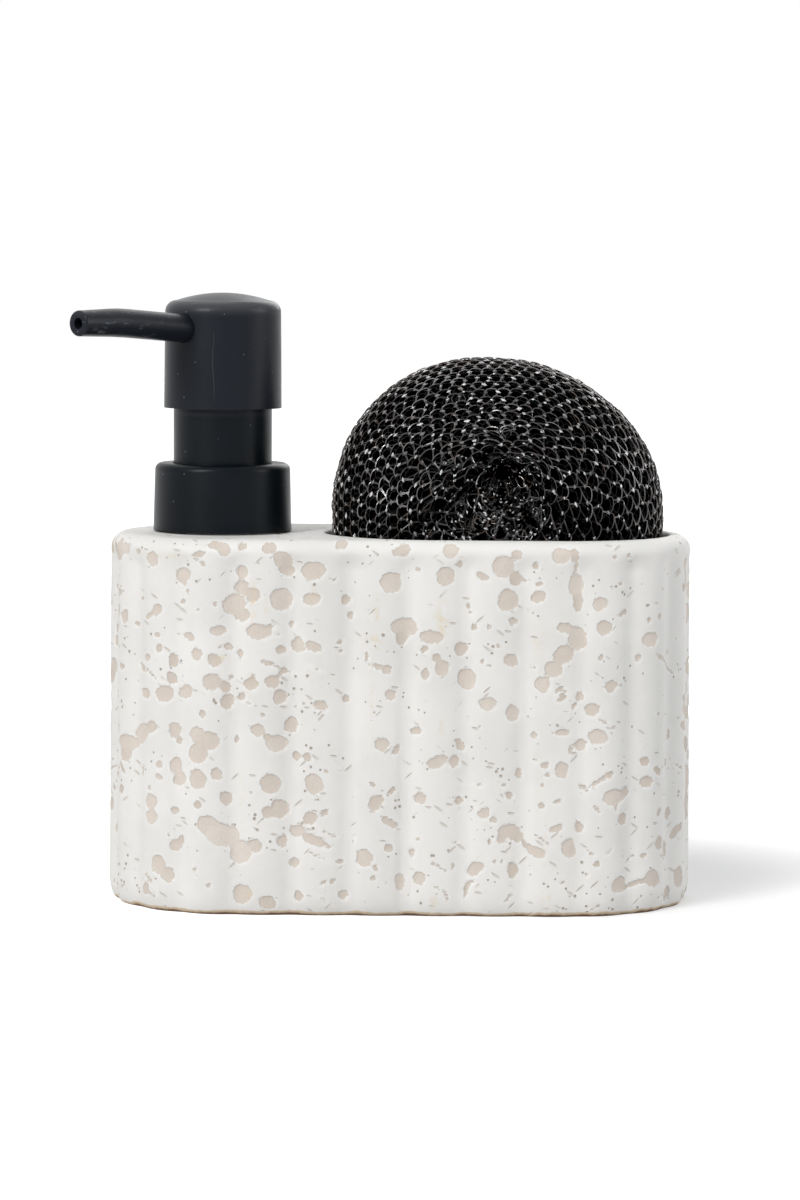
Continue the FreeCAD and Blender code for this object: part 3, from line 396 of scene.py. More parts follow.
def skin_profile():
    """Heights of the skin's rows with the inset and the rib share of each, from foot to rim."""
    rows = []
    for step in range(ROUND_ROWS):
        angle = math.pi / 2 * step / ROUND_ROWS
        rows.append((FOOT_ROUND_UP * (1 - math.cos(angle)), FOOT_ROUND_IN * (1 - math.sin(angle))))
    straight = BODY_HEIGHT - RIM_ROUND - FOOT_ROUND_UP
    count = round(straight / SKIN_ROW_STEP)
    for step in range(count):
        rows.append((FOOT_ROUND_UP + straight * step / count, 0))
    for step in range(ROUND_ROWS):
        angle = math.pi / 2 * step / (ROUND_ROWS - 1)
        rows.append((
            BODY_HEIGHT - RIM_ROUND + RIM_ROUND * math.sin(angle), RIM_ROUND * (1 - math.cos(angle))))
    profile = []
    for height, inset in rows:
        fade = (BODY_HEIGHT - RIB_FADE[1] - height) / (RIB_FADE[0] - RIB_FADE[1])
        fade = min(1, max(0, fade))
        share = max(RIM_RIB_SHARE, fade * fade * (3 - 2 * fade))
        if height < FOOT_ROUND_UP:
            share = FOOT_RIB_SHARE + (1 - FOOT_RIB_SHARE) * height / FOOT_ROUND_UP
        profile.append((height, inset + BODY_DRAFT * height / BODY_HEIGHT, share))
    return np.array(profile)


def sighted(across, down):
    """Where the line of sight through a pixel meets the front: run, height, facing share and distance."""
    pitch = math.radians(READING_PITCH)
    side = (across - PHOTO_SIZE[0] / 2) / READING_FOCAL
    rise = (PHOTO_SIZE[1] / 2 - down) / READING_FOCAL
    way = (side, math.cos(pitch) + rise * math.sin(pitch), rise * math.cos(pitch) - math.sin(pitch))
    reach, last, step = READING_REACH
    while reach < last:
        x, y, z = (start + part * reach for start, part in zip(READING_CAMERA, way))
        above = max(0, z - BODY_HEIGHT + RIM_ROUND)
        below = max(0, 1 - z / FOOT_ROUND_UP)
        inset = BODY_DRAFT * z / BODY_HEIGHT + READING_INSET
        inset += RIM_ROUND - math.sqrt(max(0, RIM_ROUND ** 2 - above ** 2))
        inset += FOOT_ROUND_IN * (1 - math.sqrt(max(0, 1 - below ** 2)))
        beyond = max(0, abs(x) - HALF_STRAIGHT)
        if math.hypot(beyond, y) <= END_RADIUS - inset:
            break
        reach += step
    turn = math.atan2(y, beyond) + math.pi / 2
    run = math.copysign(min(abs(x), HALF_STRAIGHT) + END_RADIUS * turn, x)
    return run, z, math.cos(turn), reach


def front_spots():
    """Bare spots on the front: run from the front middle, height, half width, half height, turn."""
    spots = []
    for left, readings in zip(CROP_LEFTS, (LEFT_SPOTS, RIGHT_SPOTS)):
        for x, y, wide, tall, turn in ((*reading, 0)[:5] for reading in readings):
            run, height, facing, reach = sighted(left + x / CROP_ZOOM, CROP_TOP + y / CROP_ZOOM)
            scale = reach / READING_FOCAL / CROP_ZOOM
            more = 1 / max(facing, LEAST_FACING) - 1
            along = 1 + more * abs(math.cos(math.radians(turn)))
            upright = 1 + more * abs(math.sin(math.radians(turn)))
            spots.append((
                round(run, 1), round(height, 1), round(wide * scale * along, 2),
                round(tall * scale * upright, 2), -turn))
    return sorted(spots)


def strewn_spots():
    """Bare spots on the sides and the back, strewn as thickly as on the front."""
    turn = random.Random(SEED)
    spots = []
    while len(spots) < STREWN_SPOTS:
        run = turn.uniform(STREWN_FROM, AROUND - STREWN_FROM)
        height = turn.uniform(1, BODY_HEIGHT)
        kind = turn.random()
        if kind < 0.13:
            size = turn.uniform(2.2, 4.2)
            for _ in range(turn.choice((2, 3, 4))):
                spots.append((
                    run + turn.uniform(-0.8, 0.8) * size, height + turn.uniform(-0.8, 0.8) * size,
                    size * turn.uniform(0.5, 1), size * turn.uniform(0.5, 0.9), turn.uniform(-90, 90)))
        elif kind < 0.55:
            size = turn.uniform(1.0, 2.8)
            spots.append((run, height, size, size * turn.uniform(0.75, 1.05), turn.uniform(-40, 40)))
        elif kind < 0.68:
            spots.append((run, height, turn.uniform(1.2, 3.2), turn.uniform(0.25, 0.6), turn.gauss(0, 35)))
        else:
            size = turn.uniform(0.4, 0.95)
            spots.append((run, height, size * 1.15, size, turn.uniform(-60, 60)))
    return spots


def spot_distance(run, height, spots, wander):
    """Distance in mm from each place to the edge of the nearest bare spot, below 0 inside one."""
    a = run + wander * wave(run, height, 3)
    b = height + wander * wave(run, height, 4)
    nearest = np.full(run.shape, NO_SPOT)
    tone = np.full(run.shape, 0.5)
    for index, (along, up, wide, tall, turn) in enumerate(spots):
        reach = max(wide, tall) + 2
        across = np.mod(a - along + AROUND / 2, AROUND) - AROUND / 2
        near = np.nonzero((np.abs(across) < reach) & (np.abs(b - up) < reach))[0]
        if not len(near):
            continue
        cosine, sine = math.cos(math.radians(turn)), math.sin(math.radians(turn))
        x = across[near] * cosine + (b[near] - up) * sine
        z = (b[near] - up) * cosine - across[near] * sine
        level = np.hypot(x / wide, z / tall)
        slope = np.maximum(np.hypot(x / wide ** 2, z / tall ** 2), 1e-6)
        away = level * (level - 1) / slope
        old = nearest[near]
        merge = np.maximum(0.5 - np.abs(away - old), 0) / 0.5
        nearest[near] = np.minimum(away, old) - merge * merge * 0.125
        pale = min(1, max(0, (math.sqrt(wide * tall) - 0.6) / 3)) * 0.75 + 0.25 * math.sin(index * 2.4) ** 2
        tone[near] = np.where(away < old, pale, tone[near])
    return nearest, tone


def spot_relief(distance):
    """How far the skin stands in or out at this distance from a spot's edge, in mm."""
    inside = np.clip((0.3 - distance) / 0.75, 0, 1)
    inside = inside * inside * (3 - 2 * inside)
    lip = np.exp(-((distance - 0.5) / 0.42) ** 2)
    return SPOT_LIP * lip - SPOT_DEPTH * inside


def glaze_skin(spots):
    """Outer wall of the body from its foot to the top of its rim, ribbed and splattered."""
    profile = skin_profile()
    rows = len(profile)
    bpy.ops.mesh.primitive_grid_add(x_subdivisions=SKIN_COLUMNS, y_subdivisions=rows - 1, size=2)
    skin = bpy.context.object
    flat = corner_places(skin.data)
    column = np.rint((flat[:, 0] + 1) / 2 * SKIN_COLUMNS)
    row = np.rint((flat[:, 1] + 1) / 2 * (rows - 1)).astype(int)
    run = AROUND * np.mod(column, SKIN_COLUMNS) / SKIN_COLUMNS
    height, inset, share = profile[row].T
    place, out = ringed(run)
    signed = np.where(run > AROUND / 2, run - AROUND, run)
    distance, tone = spot_distance(signed, height, spots, SPOT_WANDER)
    calm = np.clip(np.minimum(height / 2.5, (BODY_HEIGHT - height) / 1.2), 0, 1)
    sway = 0.09 * np.sin(run * 0.043 + height * 0.031) + 0.06 * np.sin(run * 0.11 - height * 0.07 + 2)
    fine = 0.025 * wave(run * 0.55, height * 0.55, 8)
    inward = inset + RIB_DEPTH * share * valley(run) - calm * (spot_relief(distance) + fine) + sway * calm
    moved = np.stack((place[:, 0] - out[:, 0] * inward, place[:, 1] - out[:, 1] * inward, height), 1)
    skin.data.vertices.foreach_set("co", (moved * MM).ravel())
    marked(skin.data, "bare_spot", distance)
    marked(skin.data, "spot_tone", tone)
    return skin


def cavity_copy():
    """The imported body's pocket, reservoir and pump hole, without its deck and outer skin."""
    inner = welded_copy("caddy_body", "cavities")
    form = bmesh.new()
    form.from_mesh(inner.data)
    deck = [face for face in form.faces
            if face.calc_center_median().z > (BODY_HEIGHT - DECK_SLACK) * MM and face.normal.z > 0.99]
    bmesh.ops.delete(form, geom=deck, context="FACES")
    lowest = min(form.faces, key=lambda face: face.calc_center_median().z)
    outer, reached = {lowest}, [lowest]
    while reached:
        for edge in reached.pop().edges:
            for face in edge.link_faces:
                if face not in outer:
                    outer.add(face)
                    reached.append(face)
    bmesh.ops.delete(form, geom=list(outer), context="FACES")
    form.to_mesh(inner.data)
    form.free()
    marked(inner.data, "bare_spot", [NO_SPOT] * len(inner.data.vertices))
    return inner


def enclosed(x, y, starts, stops):
    """Which points lie inside the deck's outline and outside its openings."""
    inside = np.zeros(len(x), bool)
    for (ax, ay), (bx, by) in zip(starts, stops):
        if ay != by:
            crossing = (ay > y) != (by > y)
            inside ^= crossing & (x < ax + (y - ay) * (bx - ax) / (by - ay))
    return inside


def deck_faces(form, edges):
    """Close the deck between its outline, the pump hole and the pocket, in small triangles."""
    points = sorted({v for edge in edges for v in edge.verts}, key=lambda v: v.co[:])
    index = {v: number for number, v in enumerate(points)}
    place = np.array([(v.co.x, v.co.y) for v in points]) / MM
    ends = np.array([[index[v] for v in edge.verts] for edge in edges])
    starts, stops = place[ends[:, 0]].tolist(), place[ends[:, 1]].tolist()
    across, along = np.meshgrid(
        np.arange(DECK_SPAN[0], DECK_SPAN[1], DECK_STEP), np.arange(-END_RADIUS, END_RADIUS, DECK_STEP))
    across, along = across.ravel(), along.ravel()
    room = np.array([np.hypot(place[:, 0] - a, place[:, 1] - b).min() for a, b in zip(across, along)])
    kept = (room > DECK_STEP / 2) & enclosed(across, along, starts, stops)
    for a, b in zip(across[kept], along[kept]):
        points.append(form.verts.new((a * MM, b * MM, BODY_HEIGHT * MM)))
    flat = [Vector((v.co.x, v.co.y)) / MM for v in points]
    _, _, faces, origins, _, _ = delaunay_2d_cdt(flat, ends.tolist(), [], 0, 1e-5)
    middles = np.array([sum((flat[origins[i][0]] for i in face), Vector((0, 0))) / 3 for face in faces])
    shown = enclosed(middles[:, 0], middles[:, 1], starts, stops)
    return [form.faces.new([points[origins[i][0]] for i in face]) for face, seen in zip(faces, shown) if seen]


def splatter_deck(form, deck):
    """Sinks bare spots into the deck, whose edges stay as they are."""
    value = form.verts.layers.float["bare_spot"]
    points = list({v for face in deck for v in face.verts})
    inner = [v for v in points if all(face in deck for face in v.link_faces)]
    spread = random.Random(SEED + 1)
    spots = [
        tuple(spread.uniform(*span) for span in ((-74, -10), (-31, 31), (0.4, 1.9), (0.4, 1.4), (-90, 90)))
        for _ in range(DECK_SPOTS)]
    x, y = np.array([v.co.xy for v in inner]).T / MM
    distance, _ = spot_distance(x, y, spots, SPOT_WANDER)
    for point, away in zip(inner, distance):
        point[value] = away
        point.co.z += float(spot_relief(away)) * MM


def stained(mesh):
    """Stores how strongly each corner of the front is stained."""
    place = corner_places(mesh) / MM
    stain = np.zeros(len(place))
    for run, height, wide, tall, strength in STAINS:
        away = ((place[:, 0] - run) / wide) ** 2 + ((place[:, 2] - height) / tall) ** 2
        stain = np.maximum(stain, strength * np.exp(-away))
    marked(mesh, "stain", np.where(place[:, 1] < STAINS_BEFORE, stain, 0))


def ceramic_body():
    """Splattered ceramic body: the glaze skin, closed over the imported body's cavities."""
    body = glaze_skin(front_spots() + strewn_spots())
    inner = cavity_copy()
    only(body)
    inner.select_set(True)
    bpy.ops.object.join()
    body.name = body.data.name = "ceramic_body"
    form = bmesh.new()
    form.from_mesh(body.data)
    bmesh.ops.remove_doubles(form, verts=form.verts, dist=WELD)
    ends = [edge for edge in form.edges if edge.is_boundary]
    top = [edge for edge in ends if all(v.co.z > (BODY_HEIGHT - EDGE_SLACK) * MM for v in edge.verts)]
    foot = [edge for edge in ends if all(v.co.z < EDGE_SLACK * MM for v in edge.verts)]
    bmesh.ops.triangle_fill(form, edges=foot, use_beauty=True)
    splatter_deck(form, set(deck_faces(form, top)))
    bmesh.ops.recalc_face_normals(form, faces=form.faces)
    form.to_mesh(body.data)
    form.free()
    stained(body.data)
    only(body)
    bpy.ops.object.shade_smooth_by_angle(angle=math.radians(SMOOTH_ANGLE))
    body.data.materials.clear()
    return body


def pad_profile():
    """Smooth crown of the pad's face: travel in mm from the gather, with size and depth shares."""
    keys = np.array(PAD_CROWN)
    ahead = np.vstack((2 * keys[0] - keys[1], keys, [keys[-1] + (0, -0.35, 0)]))
    rows = []
    for index in range(len(keys) - 1):
        a, b, c, d = ahead[index:index + 4]
        for step in range(CROWN_STEPS):
            t = step / CROWN_STEPS
            bend, twist = 2 * a - 5 * b + 4 * c - d, 3 * b - a - 3 * c + d
            rows.append(0.5 * (2 * b + (c - a) * t + bend * t ** 2 + twist * t ** 3))
    size, depth, fold = np.array(rows + [keys[-1]]).T
    half = (PAD_HALF_WIDTH + PAD_HALF_HEIGHT) / 2
    steps = np.hypot(np.diff(size) * half, np.diff(depth) * PAD_HALF_THICK)
    return np.concatenate(([0], np.cumsum(steps))), size, depth, fold


TRAVEL, SIZE, DEPTH, FOLD = pad_profile()
RIM_TRAVEL = TRAVEL[-1]


def crease(angle, run, shares):
    """Depth in mm of the pad's soft creases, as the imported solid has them."""
    turn = np.mod(angle, 2 * math.pi) / (2 * math.pi) * len(shares)
    part = np.minimum(turn.astype(int), len(shares) - 1)
    across = 2 * (turn - part) - 1
    return CREASE_DEPTH * np.interp(run, TRAVEL, FOLD) * np.array(shares)[part] * (1 - across ** 2)


def pad_place(angle, travel, sink=0.0):
    """Places on the pad, in mm, for angles round it and travel from the front gather over the rim."""
    back = travel > RIM_TRAVEL
    run = np.clip(np.where(back, 2 * RIM_TRAVEL - travel, travel), 0, RIM_TRAVEL)
    size = np.interp(run, TRAVEL, SIZE)
    depth = np.interp(run, TRAVEL, DEPTH)
    facing = np.maximum(0, np.cos(angle - math.radians(PAD_SLUMP[1])))
    slump = 1 - PAD_SLUMP[0] * facing ** PAD_SLUMP[2]
    east = np.sign(np.cos(angle)) * np.abs(np.cos(angle)) ** (2 / PAD_POWER) * slump
    north = np.sign(np.sin(angle)) * np.abs(np.sin(angle)) ** (2 / PAD_POWER) * slump
    drawn = (1 - size) ** 2
    x = PAD_MIDDLE[0] + GATHER[0] * drawn + (PAD_HALF_WIDTH - sink) * size * east
    z = PAD_MIDDLE[1] + GATHER[1] * drawn + (PAD_HALF_HEIGHT - sink) * size * north
    inward = np.where(back, crease(angle, run, BACK_CREASES), crease(angle, run, FRONT_CREASES))
    for folds, here in ((FRONT_FOLDS, ~back), (BACK_FOLDS, back)):
        for (x0, z0), (x1, z1), half, deep in folds:
            long = (x1 - x0) ** 2 + (z1 - z0) ** 2
            share = ((x - x0) * (x1 - x0) + (z - z0) * (z1 - z0)) / long
            near = np.clip(share, 0, 1)
            off = np.hypot(x - x0 - near * (x1 - x0), z - z0 - near * (z1 - z0))
            bend = 1.2 * np.sin(share * 5 + x0)
            fold = deep * (1 - 0.6 * near ** 2) * np.exp(-((off + bend) / half) ** 2)
            inward = inward + np.where(here, fold, 0)
    middle = np.hypot(x - PAD_MIDDLE[0] - GATHER[0], z - PAD_MIDDLE[1] - GATHER[1])
    pleat = np.sin(11 * angle + 0.16 * middle + np.where(back, 2.0, 0.0))
    inward = inward + 0.9 * pleat * np.exp(-((middle - 5) / 8) ** 2)
    y = (PAD_HALF_THICK - sink) * depth - inward
    return np.stack((x, np.where(back, y, -y), z), -1)


def pad_frame(angle, travel, sink=0.0):
    """Places on the pad with the ways across, towards the back gather, and outwards."""
    small = 0.02
    place = pad_place(angle, travel, sink)
    along = pad_place(angle, travel + 0.4, sink) - pad_place(angle, travel - 0.4, sink)
    across = pad_place(angle + small, travel, sink) - pad_place(angle - small, travel, sink)
    out = np.cross(along, across)
    middle = np.array((PAD_MIDDLE[0], 0, PAD_MIDDLE[1]))
    side = np.sign(np.sum(out * (place - middle), -1, keepdims=True))
    return place, unit(across), unit(along), unit(out * side)


def unit(ways):
    """Ways with a length of 1."""
    return ways / np.maximum(np.linalg.norm(ways, axis=-1, keepdims=True), 1e-9)


def outline_shares():
    """Share of the way round the rim at evenly stepped angles, wider spaced where cells are wider."""
    angle = np.linspace(0, 2 * math.pi, 1441)
    rim = pad_place(angle, np.full_like(angle, RIM_TRAVEL))
    step = np.linalg.norm(np.diff(rim, axis=0), axis=1)
    right = np.maximum(0, np.cos(angle[1:] - WIDE_SIDE))
    share = np.concatenate(([0], np.cumsum(step / (1 + 0.16 * right))))
    return share / share[-1], angle, step.sum()


ROUND_SHARES, ROUND_ANGLES, OUTLINE_LENGTH = outline_shares()


def strands(paths, outs, radius, sides, painted_glint):
    """Corners, faces and shine of thin closed strands along paths (count, steps, 3), in mm."""
    count, steps, _ = paths.shape
    way = unit(np.gradient(paths, axis=1))
    flank = unit(np.cross(way, outs))
    crest = np.cross(flank, way)
    radius = np.broadcast_to(radius, (count, steps))[..., None, None]
    turn = 2 * math.pi * (np.arange(sides) + 0.5) / sides
    ring = flank[:, :, None] * np.cos(turn)[:, None] + crest[:, :, None] * np.sin(turn)[:, None]
    points = (paths[:, :, None] + ring * radius).reshape(-1, 3)
    base = np.arange(count)[:, None, None] * steps * sides
    row = base + np.arange(steps - 1)[None, :, None] * sides
    a = row + np.arange(sides)
    b = row + (np.arange(sides) + 1) % sides
    quads = np.stack((a, b, b + sides, a + sides), -1).reshape(-1, 4)
    first = (base[:, 0] + np.arange(sides)[::-1]).tolist()
    last = (base[:, 0] + (steps - 1) * sides + np.arange(sides)).tolist()
    glow = np.broadcast_to(np.asarray(painted_glint, float).reshape(-1, 1, 1), (count, steps, sides)).reshape(-1)
    return points, quads.tolist() + first + last, glow


def flakes(place, across, along, out, wide, tall, thick, spread, painted_glint):
    """Small flat glossy bits: squashed octahedra turned a little each way."""
    count = len(place)
    turn = spread.uniform(-0.5, 0.5, count)[:, None]
    tip = spread.uniform(-0.45, 0.45, count)[:, None]
    u = across * np.cos(turn) + along * np.sin(turn)
    v = along * np.cos(turn) - across * np.sin(turn)
    w = out * np.cos(tip) + v * np.sin(tip)
    v = v * np.cos(tip) - out * np.sin(tip)
    size = spread.uniform(0.7, 1.25, count)[:, None]
    corners = np.stack((
        place + u * wide * size, place + v * tall * size, place - u * wide * size, place - v * tall * size,
        place + w * thick * size, place - w * thick * size), 1).reshape(-1, 3)
    faces = []
    for index in range(count):
        a, b, c, d, up, low = (6 * index + k for k in range(6))
        faces += [[a, b, up], [b, c, up], [c, d, up], [d, a, up]]
        faces += [[b, a, low], [c, b, low], [d, c, low], [a, d, low]]
    return corners, faces, np.repeat(np.broadcast_to(painted_glint, count), 6)


def gathered(name, groups):
    """One piece of flat-sided thread from (points, faces, shine) groups."""
    points, faces, painted_glint, start = [], [], [], 0
    for part, sides, glow in groups:
        points.append(part)
        painted_glint.append(glow)
        faces += [[corner + start for corner in face] for face in sides]
        start += len(part)
    piece = shaped(name, np.concatenate(points), faces, smooth=False)
    marked(piece.data, "painted_glint", np.concatenate(painted_glint))
    return piece


def net_rows(pitch, width, last, spread):
    """Rows of knots from the rim in to the gather: travel, and each knot's share of the way round."""
    count = round(OUTLINE_LENGTH / RIM_CELL)
    knots = np.arange(count) / count
    rows = []
    run = RIM_TRAVEL
    while run > last:
        rows.append((run, knots))
        run -= pitch
        following = np.append(knots[1:], knots[0] + 1)
        knots = (knots + following) / 2
        cell = width * min(1, 0.9 + 0.1 * (RIM_TRAVEL - run) / 8)
        goal = max(8, round(OUTLINE_LENGTH * np.interp(run, TRAVEL, SIZE) / cell))
        drop = len(knots) - goal
        if drop > 0:
            gone = ((np.arange(drop) + spread.random()) * len(knots) / drop).astype(int) % len(knots)
            knots = np.delete(knots, gone)
        for _ in range(12):
            before = np.append(knots[-1] - 1, knots[:-1])
            after = np.append(knots[1:], knots[0] + 1)
            knots = knots + 0.5 * ((before + after) / 2 - knots)
    return rows


def knitted_net(name, back, sink, pitch, width, thread, seed, detail, knotted=True):
    """Rows of knitted loops over one face of the pad, with their legs, knots and crossing threads."""
    spread = np.random.default_rng(seed)
    groups = []
    above = None
    for run, knots in net_rows(pitch, width, INNERMOST_ROW, spread):
        angle = np.interp(np.mod(knots, 1), ROUND_SHARES, ROUND_ANGLES)
        count = len(knots)
        deep = RIM_TRAVEL - run
        right = np.maximum(0, np.cos(angle - WIDE_SIDE))
        packed = deep * (1 - 0.2 * right * (1 - deep / RIM_TRAVEL))
        travel = RIM_TRAVEL + packed * (1 if back else -1)
        place, across, along, out = pad_frame(angle, travel, sink)
        rimward = -along if back else along
        middle = np.hypot((place[:, 0] - CRUMPLE[0]) / CRUMPLE[2], (place[:, 2] - CRUMPLE[1]) / CRUMPLE[3])
        crumple = np.clip(1.35 - middle, 0, 1)[:, None]
        loose = 0.12 + 0.72 * crumple
        astray = across * spread.normal(0, 1, (count, 1))
        astray = astray + rimward * spread.normal(0, 1, (count, 1))
        place = place + astray * loose
        place = place + out * (spread.normal(0, 0.4, (count, 1)) * loose - crumple * 0.3)
        following = np.roll(np.arange(count), -1)
        chord = place[following] - place
        wide = np.linalg.norm(chord, axis=1)
        t = np.linspace(0, 1, detail)[None, :, None]
        bulge = np.sin(math.pi * t) ** 0.8
        swing = 0.13 * np.sin(2 * math.pi * t)
        tall = (np.minimum(wide, width * 1.3) * 0.30 * spread.uniform(0.85, 1.2, count))[:, None, None]
        near_rim = math.exp(-(deep / 4) ** 2)
        lift = ((0.26 + 0.2 * near_rim) * spread.uniform(0.6, 1.3, count))[:, None, None]
        way = 0.5 * (rimward + rimward[following])[:, None]
        up = 0.5 * (out + out[following])[:, None]
        slant = (0.22 * right * wide)[:, None, None] * np.sin(math.pi * t) ** 1.5 * across[:, None]
        arcs = place[:, None] + chord[:, None] * (t - swing) + way * bulge * tall + up * bulge * lift + slant
        if above is not None or not back:
            # painted glints on some loops, weaker in the crumpled patch
            bright = np.where(spread.random(count) < 0.3, spread.uniform(0.05, 0.2, count), 0.03)
            bright = bright * (1 - 0.8 * crumple[:, 0])
            groups.append(strands(
                arcs, np.repeat(up, detail, 1),
                thread * (1 + 0.45 * near_rim) * spread.uniform(0.85, 1.15, (count, 1)), 4, bright * knotted))
            if knotted:
                # painted glints on the knots' flakes, more of them near the rim
                glint = np.where(
                    spread.random(count) < 0.34 + 0.3 * near_rim, spread.uniform(0.55, 1.0, count),
                    spread.uniform(0.08, 0.32, count))
                groups.append(flakes(
                    place, across, rimward, out, *KNOT_FLAKE, 0.22 + 0.25 * near_rim, spread, glint))
                bent = np.flatnonzero(spread.random(count) < 0.22)
                groups.append(flakes(
                    arcs[bent, detail // 2] + up[bent, 0] * 0.12, across[bent], rimward[bent], out[bent],
                    *CROWN_FLAKE, spread, spread.uniform(0.25, 1.0, len(bent))))
        crowns = arcs[:, detail // 2]
        if above is not None:
            outer_knots, outer_place, outer_out, outer_across = above
            crown_share = knots + 0.5 * (np.append(knots[1:], knots[0] + 1) - knots)
            gap = np.mod(outer_knots[:, None] - crown_share[None] + 0.5, 1) - 0.5
            order = np.argsort(np.abs(gap), 1)
            target = crowns[order[:, 0]]
            ends = []
            for offset in (-1, 1):
                start = outer_place + outer_across * offset * 0.28
                stop = target + outer_across * offset * 0.1
                bow = (start + stop) / 2 - outer_across * offset * 0.06
                ends.append(np.stack((start, bow, stop), 1))
            legs = np.concatenate(ends)
            outs = np.repeat(np.concatenate((outer_out, outer_out))[:, None], 3, 1)
            groups.append(strands(legs, outs, thread * 0.75, 4, 0.03 * knotted))
            behind = np.mod(outer_knots[:, None] - knots[None], 1)
            crossing = spread.random(len(outer_knots)) < 0.6
            if knotted and crossing.any():
                start = outer_place[crossing] - outer_out[crossing] * 0.2
                stop = place[np.argmin(behind, 1)][crossing] - outer_out[crossing] * 0.35
                outs = np.repeat(outer_out[crossing][:, None], 2, 1)
                groups.append(strands(np.stack((start, stop), 1), outs, CROSSING_THREAD, 3, 0.03))
        above = (knots, place, out, across)
    return gathered(name, groups)


def loose_ends(name, back, seed):
    """Crumpled net at the gather: small open loops and slips of flat glossy thread."""
    spread = np.random.default_rng(seed)

    def strewn(count, sink):
        reach = np.abs(spread.normal(0, 11, count)) + 0.5
        low = spread.uniform(3.3, 5.9, count)
        angle = np.where(spread.random(count) < 0.6, low, spread.uniform(0, 6.28, count))
        travel = np.interp(np.clip(reach, 0, 34), (0, 34), (1.5, 35.0))
        travel = 2 * RIM_TRAVEL - travel if back else travel
        return pad_frame(angle, travel, sink)

    count = GATHER_LOOPS
    place, across, along, out = strewn(count, 0.35)
    turn = spread.uniform(0, 2 * math.pi, count)[:, None]
    u = across * np.cos(turn) + along * np.sin(turn)
    v = along * np.cos(turn) - across * np.sin(turn)
    steps = 8
    t = np.linspace(-0.3, 1.3, steps)[None, :, None] * math.pi
    size = spread.uniform(0.9, 1.9, count)[:, None, None]
    lean = spread.uniform(-0.5, 0.6, count)[:, None, None]
    loops = place[:, None] + u[:, None] * np.cos(t) * size + v[:, None] * np.sin(t) * size + out[:, None] * (
        np.sin(t) * size * lean)
    groups = [strands(loops, np.repeat(out[:, None], steps, 1), 0.13, 4, spread.uniform(0.0, 0.03, count))]
    count = GATHER_SLIPS
    # painted glints on about a third of the slips
    groups.append(flakes(
        *strewn(count, 0.3), *SLIP_FLAKE, spread,
        np.where(spread.random(count) < 0.34, spread.uniform(0.65, 1.0, count), 0.0)))
    return gathered(name, groups)


def painted_shade_sheet():
    """Dark sheet close under the net, beaded at the rim: painted shade standing for the dark depths of the
    pad's layers.
    """
    beads = round(OUTLINE_LENGTH / RIM_CELL)
    columns = 4 * beads
    travel = np.linspace(0.6, 2 * RIM_TRAVEL - 0.6, SHADE_SHEET_ROWS)
    angle = 2 * math.pi * np.arange(columns) / columns
    angle, travel = (grid.ravel() for grid in np.meshgrid(angle, travel))
    place, _, _, out = pad_frame(angle, travel, SHADE_SHEET_SINK)
    wave_in = 0.25 * np.sin(angle * 37 + travel * 0.9) * np.sin(travel * 1.7)
    rim = np.exp(-((travel - RIM_TRAVEL) / 5) ** 2)
    share = np.interp(angle, ROUND_ANGLES, ROUND_SHARES)
    bead = 0.5 - 0.5 * np.cos(2 * math.pi * beads * share)
    place = place - out * ((0.3 + wave_in) * (1 - rim) - (0.5 + 0.85 * bead) * rim)[:, None]
    faces = []
    last = (SHADE_SHEET_ROWS - 1) * columns
    for row in range(0, last, columns):
        for column in range(columns):
            following = (column + 1) % columns
            faces.append([row + column, row + following, row + columns + following, row + columns + column])
    faces.append(list(range(columns))[::-1])
    faces.append(list(range(last, last + columns)))
    shade_sheet = shaped("scourer_shade_sheet", place, faces)
    only(shade_sheet)
    bpy.ops.object.mode_set(mode="EDIT")
    bpy.ops.mesh.select_all(action="SELECT")
    bpy.ops.mesh.normals_make_consistent(inside=False)
    bpy.ops.object.mode_set(mode="OBJECT")
    return shade_sheet


class Nodes:
    """A node tree and short ways to add its nodes."""

    def __init__(self, tree, place):
        self.tree = tree
        self.place = self.add("TexCoord").outputs[place]

    def add(self, kind, inputs=None, **settings):
        """New shader node of a kind, with its settings and inputs."""
        node = self.tree.nodes.new("ShaderNode" + kind)
        for key, value in settings.items():
            setattr(node, key, value)
        self.feed(node, inputs or {})
        return node

    def feed(self, node, inputs):
        """Joins each input to a socket or sets it to a value."""
        for key, value in inputs.items():
            if isinstance(value, bpy.types.NodeSocket):
                self.tree.links.new(value, node.inputs[key])
            else:
                node.inputs[key].default_value = value

    def axis(self, name):
        """The place along one axis."""
        return self.add("SeparateXYZ", {0: self.place}).outputs[name]

    def ramp(self, value, low, high, from_value=0.0, to_value=1.0, kind="SMOOTHSTEP"):
        """Step of a value between low and high."""
        inputs = {"Value": value, "From Min": low, "From Max": high, "To Min": from_value, "To Max": to_value}
        return self.add("MapRange", inputs, interpolation_type=kind).outputs["Result"]

    def sum(self, a, b, kind="ADD", clamp=False):
        return self.add("Math", {0: a, 1: b}, operation=kind, use_clamp=clamp).outputs[0]

    def times(self, value, *others):
        for other in others:
            value = self.sum(value, other, "MULTIPLY")
        return value

    def seen(self):
        """1 for camera, glossy and transmitted rays, and 0 for all others."""
        path = self.add("LightPath").outputs
        shown = self.sum(path["Is Camera Ray"], path["Is Glossy Ray"], "MAXIMUM")
        return self.sum(shown, path["Is Transmission Ray"], "MAXIMUM")


